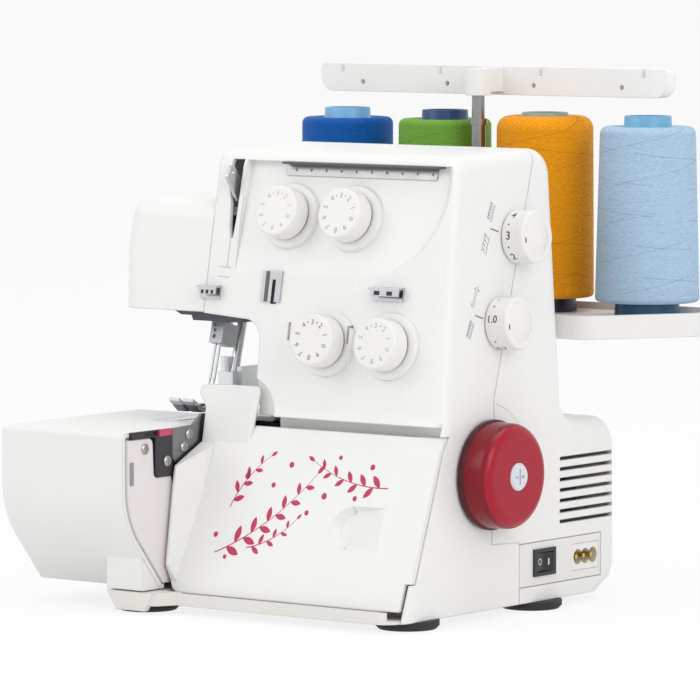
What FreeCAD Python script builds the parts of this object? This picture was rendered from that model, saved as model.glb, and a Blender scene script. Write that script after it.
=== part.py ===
import FreeCAD, Part
import math
import os

# Domestic overlock sewing machine with four thread cones on a stand behind it.
# Millimetres. +X points to the handwheel, +Y to the back and +Z up. The origin is on the table,
# under the middle of the machine's box.

V = FreeCAD.Vector
UP = (0, 0, 1)

# Driving sizes
WALL = 2.8                  # moulded shells
SEAM = 0.25                 # half the seam between the two housing halves
RUN = 0.06                  # radial clearance of a shaft in its bearing
HALF_WIDTH = 158.0          # spool tray and cloth plate reach this far to each side
FRONT_Y = -154.0            # front of the cloth plate
BACK_Y = 154.0              # back of the spool tray
FOOT_HEIGHT = 5.0
FOOT_RADIUS = 18.5
BASE_TOP = 12.6
SHELL_FOOT = 13.0           # lower edge of the housing halves above the base
SKIRT_FOOT = 5.2            # their right and back walls reach down past the base to here
SKIRT_X = 105.0             # inner side of the right skirt
SIDE_X = 108.0              # right side of the housing at its foot
SIDE_TOP_X = 97.5           # the right side leans in to this above the column
SIDE_BEND_Z = 112.0
SIDE_TOP_Z = 275.0
SEAT_LEFT_X = -64.0         # left side of the lower housing, beside the bed
COLUMN_LEFT_X = -31.0
ARM_END_X = -74.0
ARM_UNDER_Z = 170.0
COLUMN_TOP = 268.0
COLUMN_BACK_Y = 46.0
MOTOR_BAY_TOP = 109.0
MOTOR_BAY_BACK_Y = 101.0
PANEL_FOOT = (-78.0, 112.0)     # y and z of a point on the front panel
PANEL_SLOPE = 0.184             # y gained for each millimetre of height on the front panel
COVER_SLOPE = 0.371             # the same on the looper cover
BED_TOP = 107.0
BED_RIGHT_X = -65.0
BAY_BACK_Y = -62.0              # the looper bay is open in front of this
BAY_TOP = 114.0
BAY_RIGHT_X = 105.6
RECESS_FOOT_Z = 196.0           # the upper dials sit in a recess that deepens from here
RECESS_TOP_Z = 261.5
RECESS_DEPTH = 6.0
RECESS_EDGE = (38.8, 253.2, 57.7)   # x, z and radius of the recess's curved right edge
RECESS_RAMP = 1.2               # that edge slopes in by this for each millimetre of depth
HEAD_LEFT_X = -142.5
HEAD_TOP = 238.0
HEAD_BACK_Y = 30.0
BAR_LEAN = 15.0                 # needle and presser bars lean forwards, degrees
NEEDLE_X = -83.0
SHAFT_Y = -33.0                 # main shaft and handwheel
SHAFT_Z = 84.0
SHAFT_RADIUS = 5.0
WHEEL_RADIUS = 32.0             # its flange beside the housing
WHEEL_LENGTH = 21.6
MOTOR_Y = 60.0
MOTOR_Z = 62.0
PULLEY_RADIUS = 26.0
MOTOR_PULLEY_RADIUS = 8.0
PULLEY_X = (91.0, 97.0)
DIAL_RADIUS = 15.0
DIAL_SEAT = 4.0                 # a dial's back stands this far out from the panel
DIAL_HEIGHT = 17.0
UPPER_DIALS = ((-18.5, 229.6), (27.8, 229.6))
LOWER_DIALS = ((20.2, 158.1), (65.7, 158.1))
SIDE_DIALS = {"stitch_length_dial": (4.0, 219.0), "differential_dial": (-16.5, 170.0)}
SIDE_DIAL_RADIUS = 15.4
SIDE_DIAL_HEIGHT = 16.3
COVER_LEFT_X = -61.4
COVER_RIGHT_X = 107.2           # the cover laps over the housing's front edge
COVER_TURN = (88.0, 5.0)        # right of this x the cover bends back, by this at its right edge
COVER_CORNER = (103.2, 27.0)    # below this height the cover ends at this x, clear of the skirt
COVER_UPPER_SLOPE = 0.56        # above its top bend the cover leans back by this
COVER_FOOT_Z = 11.6
COVER_TOP_Z = 99.0
COVER_EDGE_Z = 108.0
COVER_HINGE = (-107.0, 20.0)    # y and z of the looper cover's hinge rod
TRAY_FLOOR = 167.0
TRAY_FOOT = 157.0
TRAY_RIM = 171.0
POLE = (4.0, 102.0)
CONE_Y = 122.0
CONE_MIDDLE_X = 2.0
CONE_SPACING = 74.7
GUIDE_BAR_Z = (297.0, 314.0)
CLOTH_PIN = (-146.0, -20.0)
HEAD_LEAN = math.tan(math.radians(BAR_LEAN))
BUSH_HEIGHTS = (184.0, 220.0)           # the two bars run in bushes at these heights
RIB_X = ((-50.0, -40.0), (68.0, 78.0))  # the main shaft's bearings
LOWER_LOOPER_PIVOT = (-40.0, 55.0)      # x and z
UPPER_LOOPER_PIVOT = (-14.0, 42.0)      # x and z
KNIFE_PIVOT = (-30.0, 97.0)             # y and z
TAKEUP_PIVOT = (-18.0, 205.0)           # y and z
LIFTER_PIVOT = (5.0, 188.0)             # y and z
DIAL_NAMES = ("left_needle", "right_needle", "upper_looper", "lower_looper")
CONES = (
    # name, thread radius below, thread radius above, top of the thread, top of the core
    ("thread_cone_blue", 28.6, 28.2, 281.0, 287.0),
    ("thread_cone_green", 28.8, 28.4, 281.5, 287.0),
    ("thread_cone_orange", 29.8, 29.2, 285.0, 287.0),
    ("thread_cone_pale_blue", 31.2, 28.6, 280.2, 286.5),
)
TUBE_RADII = (19.5, 13.8)       # a thread cone's tube, at its foot and at its tip
TUBE_WALL = 2.4
THREAD_FOOT_Z = 175.5


def box(x, y, z):
    """Block between the two ends given for each axis."""
    return Part.makeBox(x[1] - x[0], y[1] - y[0], z[1] - z[0], V(x[0], y[0], z[0]))


def rod(radius, start, end):
    """Round bar from start to end."""
    run = V(*end) - V(*start)
    return Part.makeCylinder(radius, run.Length, V(*start), run)


def ring(outer, inner, start, end):
    """Tube from start to end."""
    return rod(outer, start, end).cut(rod(inner, start, end))


def taper(first, second, start, end):
    """Round bar that changes from the first radius to the second."""
    run = V(*end) - V(*start)
    return Part.makeCone(first, second, run.Length, V(*start), run)


PLANES = {
    "x": (lambda u, v: V(0, u, v), V(1, 0, 0)),
    "y": (lambda u, v: V(u, 0, v), V(0, 1, 0)),
    "z": (lambda u, v: V(u, v, 0), V(0, 0, 1)),
}


def outline(corners, axis):
    """Flat face square to an axis, through (u, v) or (u, v, radius) corners."""
    place = PLANES[axis][0]
    spots = [place(corner[0], corner[1]) for corner in corners]
    count = len(corners)
    bends = []
    for i, corner in enumerate(corners):
        here = spots[i]
        if len(corner) == 2:
            bends.append((here, None, here))
            continue
        back = (spots[i - 1] - here).normalize()
        ahead = (spots[(i + 1) % count] - here).normalize()
        half = back.getAngle(ahead) / 2
        reach = corner[2] / math.tan(half)
        inward = (back + ahead).normalize() * (corner[2] / math.sin(half) - corner[2])
        bends.append((here + back * reach, here + inward, here + ahead * reach))
    edges = []
    for i, (start, middle, end) in enumerate(bends):
        following = bends[(i + 1) % count][0]
        if middle is not None:
            edges.append(Part.Arc(start, middle, end).toShape())
        if end.distanceToPoint(following) > 1e-6:
            edges.append(Part.LineSegment(end, following).toShape())
    return Part.Face(Part.Wire(edges))


def prism(corners, axis, low, high, inset=0):
    """Outline carried straight along an axis, drawn in by an inset on every side."""
    face = outline(corners, axis)
    if inset:
        face = face.makeOffset2D(-inset)
    along = PLANES[axis][1]
    face.translate(along * low)
    return face.extrude(along * (high - low))


def slanted(corners, z, slope, foot_y):
    """Plan outline carried up a leaning line that passes foot_y at the lower height."""
    face = outline(corners, "z")
    face.translate(V(0, foot_y, z[0]))
    rise = z[1] - z[0]
    return face.extrude(V(0, slope * rise, rise))


def turned(profile):
    """Solid of revolution about Z through (radius, height) points."""
    spots = [V(radius, 0, height) for radius, height in profile]
    face = Part.Face(Part.makePolygon(spots + spots[:1]))
    return face.revolve(V(0, 0, 0), V(0, 0, 1), 360)


def seated(shape, point, axis):
    """Shape made along Z, put at a point with Z turned to an axis."""
    placed = shape.copy()
    placed.Placement = FreeCAD.Placement(V(*point), FreeCAD.Rotation(V(0, 0, 1), V(*axis)))
    return placed


def leaning(shape, point):
    """Shape made upright, put at a point and leant forwards with the needle bar."""
    placed = shape.copy()
    placed.Placement = FreeCAD.Placement(V(*point), FreeCAD.Rotation(V(1, 0, 0), -BAR_LEAN))
    return placed


def joined(shapes):
    """One solid from shapes that meet."""
    return shapes[0].fuse(list(shapes[1:])).removeSplitter()


def round_circles(shape, radius, circle_radius):
    """Round the circular edges of one radius."""
    edges = []
    for edge in shape.Edges:
        if isinstance(edge.Curve, Part.Circle) and abs(edge.Curve.Radius - circle_radius) < 0.01:
            edges.append(edge)
    return shape.makeFillet(radius, edges)


def round_rim(shape, radius, side, above):
    """Round the rim of the faces that look to one side, where it lies above a height."""
    faces = []
    for face in shape.Faces:
        u0, u1, v0, v1 = face.ParameterRange
        if face.normalAt((u0 + u1) / 2, (v0 + v1) / 2).dot(V(*side)) > 0.95:
            faces.append(face)
    own = [edge for face in faces for edge in face.Edges]
    rim = []
    for edge in own:
        if sum(1 for other in own if other.isSame(edge)) == 1 and edge.BoundBox.ZMax > above:
            rim.append(edge)
    return shape.makeFillet(radius, rim)


def panel_y(z):
    """Outer face of the upper front panel at a height."""
    return PANEL_FOOT[0] + (z - PANEL_FOOT[1]) * PANEL_SLOPE


def cover_y(z):
    """Outer face of the looper cover at a height."""
    return -116.0 + (z - SHELL_FOOT) * COVER_SLOPE


BEND_Z = (PANEL_FOOT[0] - cover_y(PANEL_FOOT[1])) / (COVER_SLOPE - PANEL_SLOPE) + PANEL_FOOT[1]


def recess_y(z):
    """Outer face of the recessed upper panel at a height."""
    share = (z - RECESS_FOOT_Z) / (RECESS_TOP_Z - RECESS_FOOT_Z)
    return panel_y(z) + RECESS_DEPTH * share


def side_x(z):
    """Outer face of the right side at a height."""
    slope = (SIDE_X - SIDE_TOP_X) / (SIDE_TOP_Z - SIDE_BEND_Z)
    return SIDE_X - max(0.0, z - SIDE_BEND_Z) * slope


def normal_of(slope):
    """Forward-facing normal of a front face that leans back by a slope."""
    angle = math.atan(slope)
    return (0, -math.cos(angle), math.sin(angle))


RECESS_SLOPE = PANEL_SLOPE + RECESS_DEPTH / (RECESS_TOP_Z - RECESS_FOOT_Z)
PANEL_NORMAL = normal_of(PANEL_SLOPE)
RECESS_NORMAL = normal_of(RECESS_SLOPE)
SIDE_NORMAL = (SIDE_TOP_Z - SIDE_BEND_Z, 0, SIDE_X - SIDE_TOP_X)


def body_hull(inset):
    """Outer form of the housing, or the room inside it when drawn in by the wall."""
    side = [
        (cover_y(SKIRT_FOOT), SKIRT_FOOT),
        (panel_y(BEND_Z), BEND_Z, 40),
        (panel_y(COLUMN_TOP - 1.0), COLUMN_TOP - 1.0, 12),
        (COLUMN_BACK_Y, COLUMN_TOP + 2.0, 16),
        (COLUMN_BACK_Y, MOTOR_BAY_TOP + 3.0, 10),
        (MOTOR_BAY_BACK_Y - 1.0, MOTOR_BAY_TOP - 1.0, 18),
        (MOTOR_BAY_BACK_Y, 20.0),
        (MOTOR_BAY_BACK_Y - 4.0, 11.0),
        (86.0, SKIRT_FOOT),
    ]
    front = [
        (SIDE_X, SKIRT_FOOT),
        (SIDE_X, SIDE_BEND_Z, 40),
        (SIDE_TOP_X, SIDE_TOP_Z),
        (ARM_END_X, SIDE_TOP_Z),
        (ARM_END_X, ARM_UNDER_Z + 1.5),
        (COLUMN_LEFT_X, ARM_UNDER_Z - 1.5, 12),
        (COLUMN_LEFT_X + 3.5, SIDE_BEND_Z),
        (SEAT_LEFT_X, SIDE_BEND_Z),
        (SEAT_LEFT_X, SKIRT_FOOT),
    ]
    hull = prism(side, "x", -200, 200, inset).common(prism(front, "y", -200, 200, inset))
    corner = 9.0 if inset == 0 else 9.0 - inset
    return round_rim(hull, corner, (1, 0, 0), SKIRT_FOOT + inset + 0.5)


def dial_recess(wall):
    """Wedge in front of the upper dials, or the wedge and the wall behind it."""
    x, z, radius = RECESS_EDGE
    foot = RECESS_FOOT_Z - wall
    top = RECESS_TOP_Z + wall
    middle = V(x, panel_y(z), z)
    ahead = V(*PANEL_NORMAL) * 40
    round_side = taper(radius + wall + 40 * RECESS_RAMP, radius + wall - 20 * RECESS_RAMP,
                       middle + ahead, middle - ahead * 0.5)
    left_side = box((-54.0 - wall, x), (-150, 0), (foot, top))
    reach = round_side.common(box((x, 150), (-150, 0), (foot, top))).fuse(left_side)
    depth = prism(
        [(-150, foot), (recess_y(foot) + wall, foot), (recess_y(top) + wall, top), (-150, top)],
        "x", -150, 150)
    return reach.common(depth)


def guard_recess(wall):
    """Round hollow behind the knife guard, or the hollow and the wall behind it."""
    x, z = -37.8, SIDE_BEND_Z
    return rod(24.8 + wall, (x, -150, z), (x, -72.5 + wall, z))


def dial_places():
    """Foot point and axis of each tension dial on the front panel."""
    places = [((x, recess_y(z), z), RECESS_NORMAL) for x, z in UPPER_DIALS]
    return places + [((x, panel_y(z), z), PANEL_NORMAL) for x, z in LOWER_DIALS]


def make_housings():
    """Front and rear halves of the white moulded housing."""
    room = body_hull(WALL).cut([dial_recess(WALL), guard_recess(WALL)])
    shell = body_hull(0).cut([room, dial_recess(0), guard_recess(0)])
    boss_top = DIAL_SEAT - 0.4
    boss = turned([(0, -1.5), (19.5, -1.5), (19.5, boss_top - 0.6), (18.9, boss_top), (0, boss_top)])
    shell = shell.fuse([seated(boss, point, axis) for point, axis in dial_places()])
    lap = COVER_TURN[1] + WALL + 0.4
    corner_z = COVER_CORNER[1] - 0.5
    bend_y = cover_y(COVER_TOP_Z) + lap
    edge_z = COVER_EDGE_Z + 0.6
    edge_y = bend_y + (edge_z - COVER_TOP_Z) * COVER_UPPER_SLOPE
    lapped = [(cover_y(corner_z) + lap, corner_z), (bend_y, COVER_TOP_Z), (edge_y, edge_z), (-200, edge_z),
              (-200, corner_z)]
    low_corner = [(cover_y(0) + 4.2, 0), (cover_y(corner_z) + 4.2, corner_z), (-200, corner_z), (-200, 0)]
    takeup_slot = [(-60.2, 216), (-58.4, 216), (-57.4, 228), (-56.2, 262), (-64.8, 262), (-65.2, 248),
                   (-62.8, 236), (-61.6, 222)]
    cuts = [
        box((SEAT_LEFT_X + WALL, SIDE_X - WALL), (-105, 75), (0, SHELL_FOOT + 2 * WALL)),
        box((ARM_END_X - 1, ARM_END_X + WALL + 1), (-50, 26), (ARM_UNDER_Z + 5.5, HEAD_TOP - 5)),
        box((SEAT_LEFT_X - 1, BAY_RIGHT_X), (-150, BAY_BACK_Y), (0, BAY_TOP)),
        box((-200, SKIRT_X), (-200, 90), (0, SHELL_FOOT)),
        prism(lapped, "x", 100, 120),
        prism(low_corner, "x", 100, 120),
        prism(takeup_slot, "y", -80, -25),
        rod(11.0, (90, SHAFT_Y, SHAFT_Z), (115, SHAFT_Y, SHAFT_Z)),
    ]
    cuts += [seated(rod(3.5, (0, 0, -12), (0, 0, 12)), point, axis) for point, axis in dial_places()]
    for y, z in SIDE_DIALS.values():
        cuts.append(seated(rod(3.9, (0, 0, -8), (0, 0, 8)), (side_x(z), y, z), SIDE_NORMAL))
    for x, z in LOWER_DIALS:
        slit_x = x - 29.5
        cuts.append(box((slit_x - 0.8, slit_x + 0.8), (-90, -60), (z + 0.4, z + 10.6)))
    for i in range(7):
        z = 50.0 + 6.2 * i
        cuts.append(box((98, 112), (40, 97), (z - 1.1, z + 1.1)))
    cuts.append(box((SIDE_X - 14, SIDE_X + 2), (-1, 83), (14.4, 40.4)))
    shelf = box((-14, BAY_RIGHT_X + 0.5), (-76.5, -68.0), (BAY_TOP, BAY_TOP + 2.2))
    lip = box((-14, BAY_RIGHT_X + 0.5), (-70.6, -68.0), (BAY_TOP - 10, BAY_TOP + 2.2))
    shell = shell.cut(cuts).fuse([shelf, lip]).removeSplitter()
    seam = [(-1.0, 0.0), (-1.0, 41.5), (-29.0, 43.0), (-26.0, 126.0), (25.5, 263.0), (30.0, 275.0)]
    ahead = prism([(y - SEAM, z) for y, z in seam] + [(-200, 275), (-200, 0)], "x", -200, 200)
    behind = prism([(y + SEAM, z) for y, z in seam] + [(200, 275), (200, 0)], "x", -200, 200)
    front = shell.common(ahead)
    rear = shell.common(behind)
    return {"front_housing": largest(front), "rear_housing": largest(rear)}


def largest(shape):
    """The one solid that remains when loose slivers are left behind."""
    return max(shape.Solids, key=lambda solid: solid.Volume)


def head_form(inset, foot, right):
    """Outer form of the sewing head's end, or the room inside it when drawn in by the wall."""
    side = [
        (panel_y(foot), foot),
        (panel_y(HEAD_TOP), HEAD_TOP, 14),
        (HEAD_BACK_Y, HEAD_TOP, 16),
        (HEAD_BACK_Y, foot),
    ]
    front = [
        (right, foot),
        (right, HEAD_TOP + 20),
        (HEAD_LEFT_X + 2.0, HEAD_TOP + 20),
        (HEAD_LEFT_X, 205.0, 60),
        (HEAD_LEFT_X + (205.0 - foot) * 0.135, foot),
    ]
    form = prism(side, "x", -200, 100, inset).common(prism(front, "y", -200, 200, inset))
    return round_rim(form, 12.0 - inset, (-1, 0, 0), 180.0)


def make_face_cover():
    """White cover of the sewing head's left end, open below and towards the arm."""
    hull = head_form(0, 172.0, ARM_END_X - 0.2)
    room = head_form(WALL, 150.0, 20.0)
    lifter_slot = box((-104, -88), (HEAD_BACK_Y - 8, HEAD_BACK_Y + 4), (160, 208))
    return {"face_cover": largest(hull.cut([room, lifter_slot]))}


def make_base():
    """Base tray with its trough for the looper cover, and four rubber feet."""
    right = SKIRT_X - 0.2
    plan = [(-94, -136, 12), (-58, -136, 8), (-50, -123), (right, -123, 12), (right, 84, 12), (-72, 84, 12),
            (-72, -8, 8), (-94, -8, 12)]
    plate = prism(plan, "z", FOOT_HEIGHT, BASE_TOP)
    lip = prism([(-91, BASE_TOP), (-84, 1.8), (-63, 1.8), (-56.5, BASE_TOP)], "y", -137, -133)
    plate = plate.fuse(lip)
    trough = box((COVER_LEFT_X - 1, BAY_RIGHT_X + 6), (-120.2, -94), (6.9, 20))
    front_edge = box((-48, BAY_RIGHT_X + 6), (-140, -118), (12.0, 20))
    plate = plate.cut([trough, front_edge])
    y, z = COVER_HINGE
    for x in (-31.0, 29.0):
        arm = box((x - 3, x + 3), (y, y + 13), (z - 3, z + 3))
        leg = box((x - 3, x + 3), (y + 9, y + 13), (5.6, z + 3))
        plate = plate.fuse([arm, leg, rod(3.0, (x - 3, y, z), (x + 3, y, z))])
    plate = plate.cut(rod(2.0 + RUN, (-60, y, z), (60, y, z))).removeSplitter()
    foot = turned([(0, 0), (FOOT_RADIUS - 2, 0), (FOOT_RADIUS, 2), (FOOT_RADIUS, FOOT_HEIGHT),
                   (0, FOOT_HEIGHT)])
    feet = [seated(foot, (*spot, 0), UP) for spot in ((94, -92), (-78.5, -114), (97, 26), (-52, 34))]
    return {"base_plate": plate, "rubber_feet": Part.makeCompound(feet)}


def on_needle(z):
    """Point on the needle bar's axis at a height."""
    return (NEEDLE_X, -34.5 + (z - 156.0) * HEAD_LEAN, z)


def on_presser(z):
    """Point on the presser bar's axis at a height."""
    return (NEEDLE_X, -18.0 + (z - 165.0) * HEAD_LEAN, z)


def make_frame():
    """Cast frame inside the housing, with bushes for the main shaft and the two bars."""
    plate = box((-57, 84), (-56, -49), (BASE_TOP, 108))
    ribs = [box(x, (-50, -16), (BASE_TOP, 102)) for x in RIB_X]
    post = box((-22, -3), (-50, 14), (BASE_TOP, 60)).fuse(box((-22, -3), (-12, 14), (50, 224)))
    beam = box((-67, -3), (-10, 12), (190, 224))
    under = [(-112, 171.6), (-104.5, 168.2), (-96.8, 168.2), (-95.6, 165.2), (-60, 165.2), (-57, 168.6),
             (-75, 169.6), (-75, 171.6)]
    head_floor = joined([prism(under, "y", -50, -38), box((-93, -76), (-50, -38), (166, 182))])
    head_wall = box((-73, -66), (-44, 12), (179, 228))
    lugs = []
    bushes = []
    for height in BUSH_HEIGHTS:
        middle = (on_needle(height)[1] + on_presser(height)[1]) / 2
        lugs.append(box((-93, -72), (middle - 20, middle + 20), (height - 4, height + 4)))
        for place, radius in ((on_needle, 3.2), (on_presser, 3.0)):
            bush = ring(5.45, radius + RUN, (0, 0, -5.5), (0, 0, 5.5))
            bushes.append(leaning(bush, place(height)))
    takeup_lug = box((-57.5, -51), (-25, -9), (198, 212))
    takeup_pin = rod(2.0, (-62.8, *TAKEUP_PIVOT), (-55, *TAKEUP_PIVOT))
    lifter_pin = rod(2.5, (-102, *LIFTER_PIVOT), (-70, *LIFTER_PIVOT))
    knife_pin = rod(2.5, (-60.8, *KNIFE_PIVOT), (-48, *KNIFE_PIVOT))
    pins = [takeup_pin, lifter_pin, knife_pin]
    cast = joined([plate, *ribs, post, beam, head_wall, head_floor, *lugs, takeup_lug, *pins])
    bores = [rod(8.95, (-60, SHAFT_Y, SHAFT_Z), (90, SHAFT_Y, SHAFT_Z))]
    bar_bore = rod(5.5, (0, 0, -15), (0, 0, 15))
    for height in BUSH_HEIGHTS:
        bores += [leaning(bar_bore, place(height)) for place in (on_needle, on_presser)]
    for x, z in (LOWER_LOOPER_PIVOT, UPPER_LOOPER_PIVOT):
        bores.append(rod(4.0 + RUN, (x, -80, z), (x, -36, z)))
    cast = cast.cut(bores)
    for start, end in RIB_X:
        bushes.append(ring(8.9, SHAFT_RADIUS + RUN, (start, SHAFT_Y, SHAFT_Z), (end, SHAFT_Y, SHAFT_Z)))
    return {"machine_frame": cast, "bearing_bushes": Part.makeCompound(bushes)}


def make_drive():
    """Main shaft with handwheel and pulley, motor with its pulley, and the belt between them."""
    centre = (SHAFT_Y, SHAFT_Z)
    cap_seat = WHEEL_LENGTH - 4.0
    shaft = rod(SHAFT_RADIUS, (-56, *centre), (SIDE_X + cap_seat - 1.0, *centre))
    grip = SHAFT_RADIUS + 0.03
    rim = WHEEL_RADIUS - 1.6
    wheel = turned([(grip, -5), (9, -5), (9, 1.2), (WHEEL_RADIUS - 0.6, 1.2), (WHEEL_RADIUS, 1.8),
                    (WHEEL_RADIUS, 4.4), (rim + 0.4, 5.0), (rim, WHEEL_LENGTH), (8.3, WHEEL_LENGTH),
                    (8.3, cap_seat), (grip, cap_seat)])
    wheel = round_circles(wheel, 6.5, rim)
    wheel = seated(wheel, (SIDE_X, *centre), (1, 0, 0))
    cap = turned([(0, 0.2), (8.1, 0.2), (8.1, 4.4), (7.2, 5.4), (0, 5.4)])
    slots = box((-5, 5), (-0.7, 0.7), (4.2, 6)).fuse(box((-0.7, 0.7), (-5, 5), (4.2, 6)))
    cap = cap.cut(slots.common(rod(4.5, (0, 0, 0), (0, 0, 10))))
    cap = seated(cap, (SIDE_X + cap_seat, *centre), (1, 0, 0))
    flange = 3.0
    width = PULLEY_X[1] - PULLEY_X[0]

    def pulley(radius, bore):
        rim = radius + flange
        return turned([(bore, -1.5), (rim, -1.5), (rim, -0.4), (radius, -0.4), (radius, width + 0.4),
                       (rim, width + 0.4), (rim, width + 1.5), (bore, width + 1.5)])

    main_pulley = seated(pulley(PULLEY_RADIUS, grip), (PULLEY_X[0], *centre), (1, 0, 0))
    motor_centre = (MOTOR_Y, MOTOR_Z)
    rotor = seated(pulley(MOTOR_PULLEY_RADIUS, 0), (PULLEY_X[0], *motor_centre), (1, 0, 0))
    rotor = rotor.fuse(rod(3.0, (56, *motor_centre), (90, *motor_centre))).removeSplitter()
    motor = joined([rod(27.0, (-22, *motor_centre), (66, *motor_centre)),
                    rod(11.0, (64, *motor_centre), (74, *motor_centre))])
    motor = motor.cut(rod(3.0 + RUN, (54, *motor_centre), (80, *motor_centre)))
    cradle = box((-10, 56), (MOTOR_Y - 16, MOTOR_Y + 13), (BASE_TOP, 46))
    cradle = cradle.cut(rod(27.0 + RUN, (-40, *motor_centre), (80, *motor_centre)))
    cradle = cradle.cut(box((6, 40), (0, 120), (BASE_TOP + 5, 80)))
    slack = 0.35

    def belt_hull(extra):
        big = PULLEY_RADIUS + extra
        small = MOTOR_PULLEY_RADIUS + extra
        span_y = MOTOR_Y - SHAFT_Y
        span_z = MOTOR_Z - SHAFT_Z
        bearing = math.atan2(span_z, span_y)
        spread = math.acos((big - small) / math.hypot(span_y, span_z))
        tangents = []
        for sign in (1, -1):
            way = bearing + sign * spread
            tangents.append((SHAFT_Y + big * math.cos(way), SHAFT_Z + big * math.sin(way)))
            tangents.append((MOTOR_Y + small * math.cos(way), MOTOR_Z + small * math.sin(way)))
        band = prism([tangents[0], tangents[1], tangents[3], tangents[2]], "x", *PULLEY_X)
        ends = [rod(big, (PULLEY_X[0], *centre), (PULLEY_X[1], *centre)),
                rod(small, (PULLEY_X[0], *motor_centre), (PULLEY_X[1], *motor_centre))]
        return joined([band, *ends])

    belt = belt_hull(slack + 2.4).cut(belt_hull(slack))
    return {
        "main_shaft": shaft, "handwheel": wheel, "handwheel_cap": cap, "main_pulley": main_pulley,
        "motor_pulley": rotor, "motor": motor, "motor_bracket": cradle, "drive_belt": belt,
    }


def make_dials():
    """Four tension dials with their posts, and two dials on the right side."""
    knob = turned([(0, DIAL_SEAT), (DIAL_RADIUS, DIAL_SEAT), (DIAL_RADIUS, DIAL_HEIGHT - 1.3),
                   (DIAL_RADIUS - 1.3, DIAL_HEIGHT), (0, DIAL_HEIGHT)])
    stem = rod(3.0, (0, 0, -11), (0, 0, DIAL_SEAT + 0.5))
    post = ring(6.0, 3.0 + RUN, (0, 0, -13), (0, 0, -WALL - 0.2))
    disc = ring(9.0, 6.05, (0, 0, -8.6), (0, 0, -6.6))
    made = {}
    posts = []
    for name, (point, axis) in zip(DIAL_NAMES, dial_places()):
        made["tension_dial_" + name] = seated(knob.fuse(stem), point, axis)
        posts += [seated(post, point, axis), seated(disc, point, axis)]
    made["tension_posts"] = Part.makeCompound(posts)
    rim = SIDE_DIAL_RADIUS
    top = SIDE_DIAL_HEIGHT
    side = turned([(0, 0.6), (rim - 0.8, 0.6), (rim, 1.4), (rim, top - 2.4), (rim - 1.6, top - 0.6),
                   (10.6, top - 0.6), (10.0, top), (0, top)])
    side = side.fuse(rod(3.4, (0, 0, -9), (0, 0, 1)))
    for name, (y, z) in SIDE_DIALS.items():
        made[name] = seated(side, (side_x(z), y, z), SIDE_NORMAL)
    return made


def make_looper_cover():
    """White front cover with a thumb scoop and a knife guard, hung on a sliding hinge rod."""
    turn_x, turn = COVER_TURN
    wall = [(COVER_LEFT_X, 0), (turn_x, 0), (COVER_RIGHT_X, turn), (COVER_RIGHT_X, turn + WALL),
            (turn_x - 0.5, WALL), (COVER_LEFT_X, WALL)]
    lower = slanted(wall, (COVER_FOOT_Z, COVER_TOP_Z), COVER_SLOPE, cover_y(COVER_FOOT_Z))
    upper = slanted(wall, (COVER_TOP_Z, COVER_EDGE_Z), COVER_UPPER_SLOPE, cover_y(COVER_TOP_Z))
    backing = slanted([(43, 0.5), (81, 0.5), (81, 7.4), (43, 7.4)], (40, 71), COVER_SLOPE, cover_y(40))
    middle = V(58.3, cover_y(55.5), 55.5)
    out = V(*normal_of(COVER_SLOPE))
    scoop_end = taper(14.0, 8.3, middle + out * 2.0, middle - out * 4.3)
    across = [(cover_y(41.5) - 2.1, 41.5), (cover_y(69.5) - 2.1, 69.5), (cover_y(63.8) + 4.6, 63.8),
              (cover_y(47.2) + 4.6, 47.2)]
    scoop = scoop_end.fuse(prism(across, "x", middle.x, 84))
    floor = [(30, -8), (95, -8), (95, 0), (81, 0), (54, 4.6), (30, 4.6)]
    scoop = scoop.common(slanted(floor, (30, 80), COVER_SLOPE, cover_y(30)))
    guard_y = cover_y(COVER_TOP_Z)
    guard = slanted([(-70, 0), (-28, 0), (-24, 2.0), (-24, WALL), (-70, WALL)],
                    (COVER_TOP_Z - 1, 131), PANEL_SLOPE, guard_y - 0.37)
    guard_front = [(COVER_LEFT_X, 90), (COVER_LEFT_X, 117.6), (-67, 125.2), (-66, 130, 2), (-24, 132.5, 5),
                   (-24, 125, 8), (-27.5, 90)]
    guard = guard.common(prism(guard_front, "y", -200, 0))
    left = COVER_LEFT_X
    cheek_side = [(cover_y(18) + 1.5, 18), (cover_y(18), 18), (-119, 28), (-111.5, 80), (-110.5, 85),
                  (cover_y(97) - 1, 97), (cover_y(97) + 1.5, 97)]
    cheek_plan = [(left, 0), (left + 1.5, 0), (left + 9.5, 18), (left + 9.5, 45), (left, 45)]
    cheek = slanted(cheek_plan, (14, 100), 7.5 / 52, -121.0)
    cheek = cheek.common(prism(cheek_side, "x", left, left + 20))
    corner = box((left - 1, left + 8), (-150, -60), (COVER_FOOT_Z - 1, COVER_FOOT_Z + 8))
    corner = corner.cut(rod(8.0, (left + 8, -150, COVER_FOOT_Z + 8), (left + 8, -60, COVER_FOOT_Z + 8)))
    y, z = COVER_HINGE
    bodies = [lower, upper, backing, guard, cheek]
    for x in ((-50, -40), (10, 20), (74, 84)):
        bodies.append(rod(4.5, (x[0], y, z), (x[1], y, z)))
        bodies.append(box(x, (y - 5.5, y), (z - 2, z + 2)))
    right_corner = box((COVER_CORNER[0], 120), (-150, -60), (0, COVER_CORNER[1]))
    bore = rod(2.0 + RUN, (-70, y, z), (92.6, y, z))
    cover = joined(bodies).cut([scoop, corner, right_corner, bore])
    hinge_rod = rod(2.0, (-58, y, z), (92, y, z))
    return {"looper_cover": cover, "cover_hinge_rod": hinge_rod}


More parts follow.
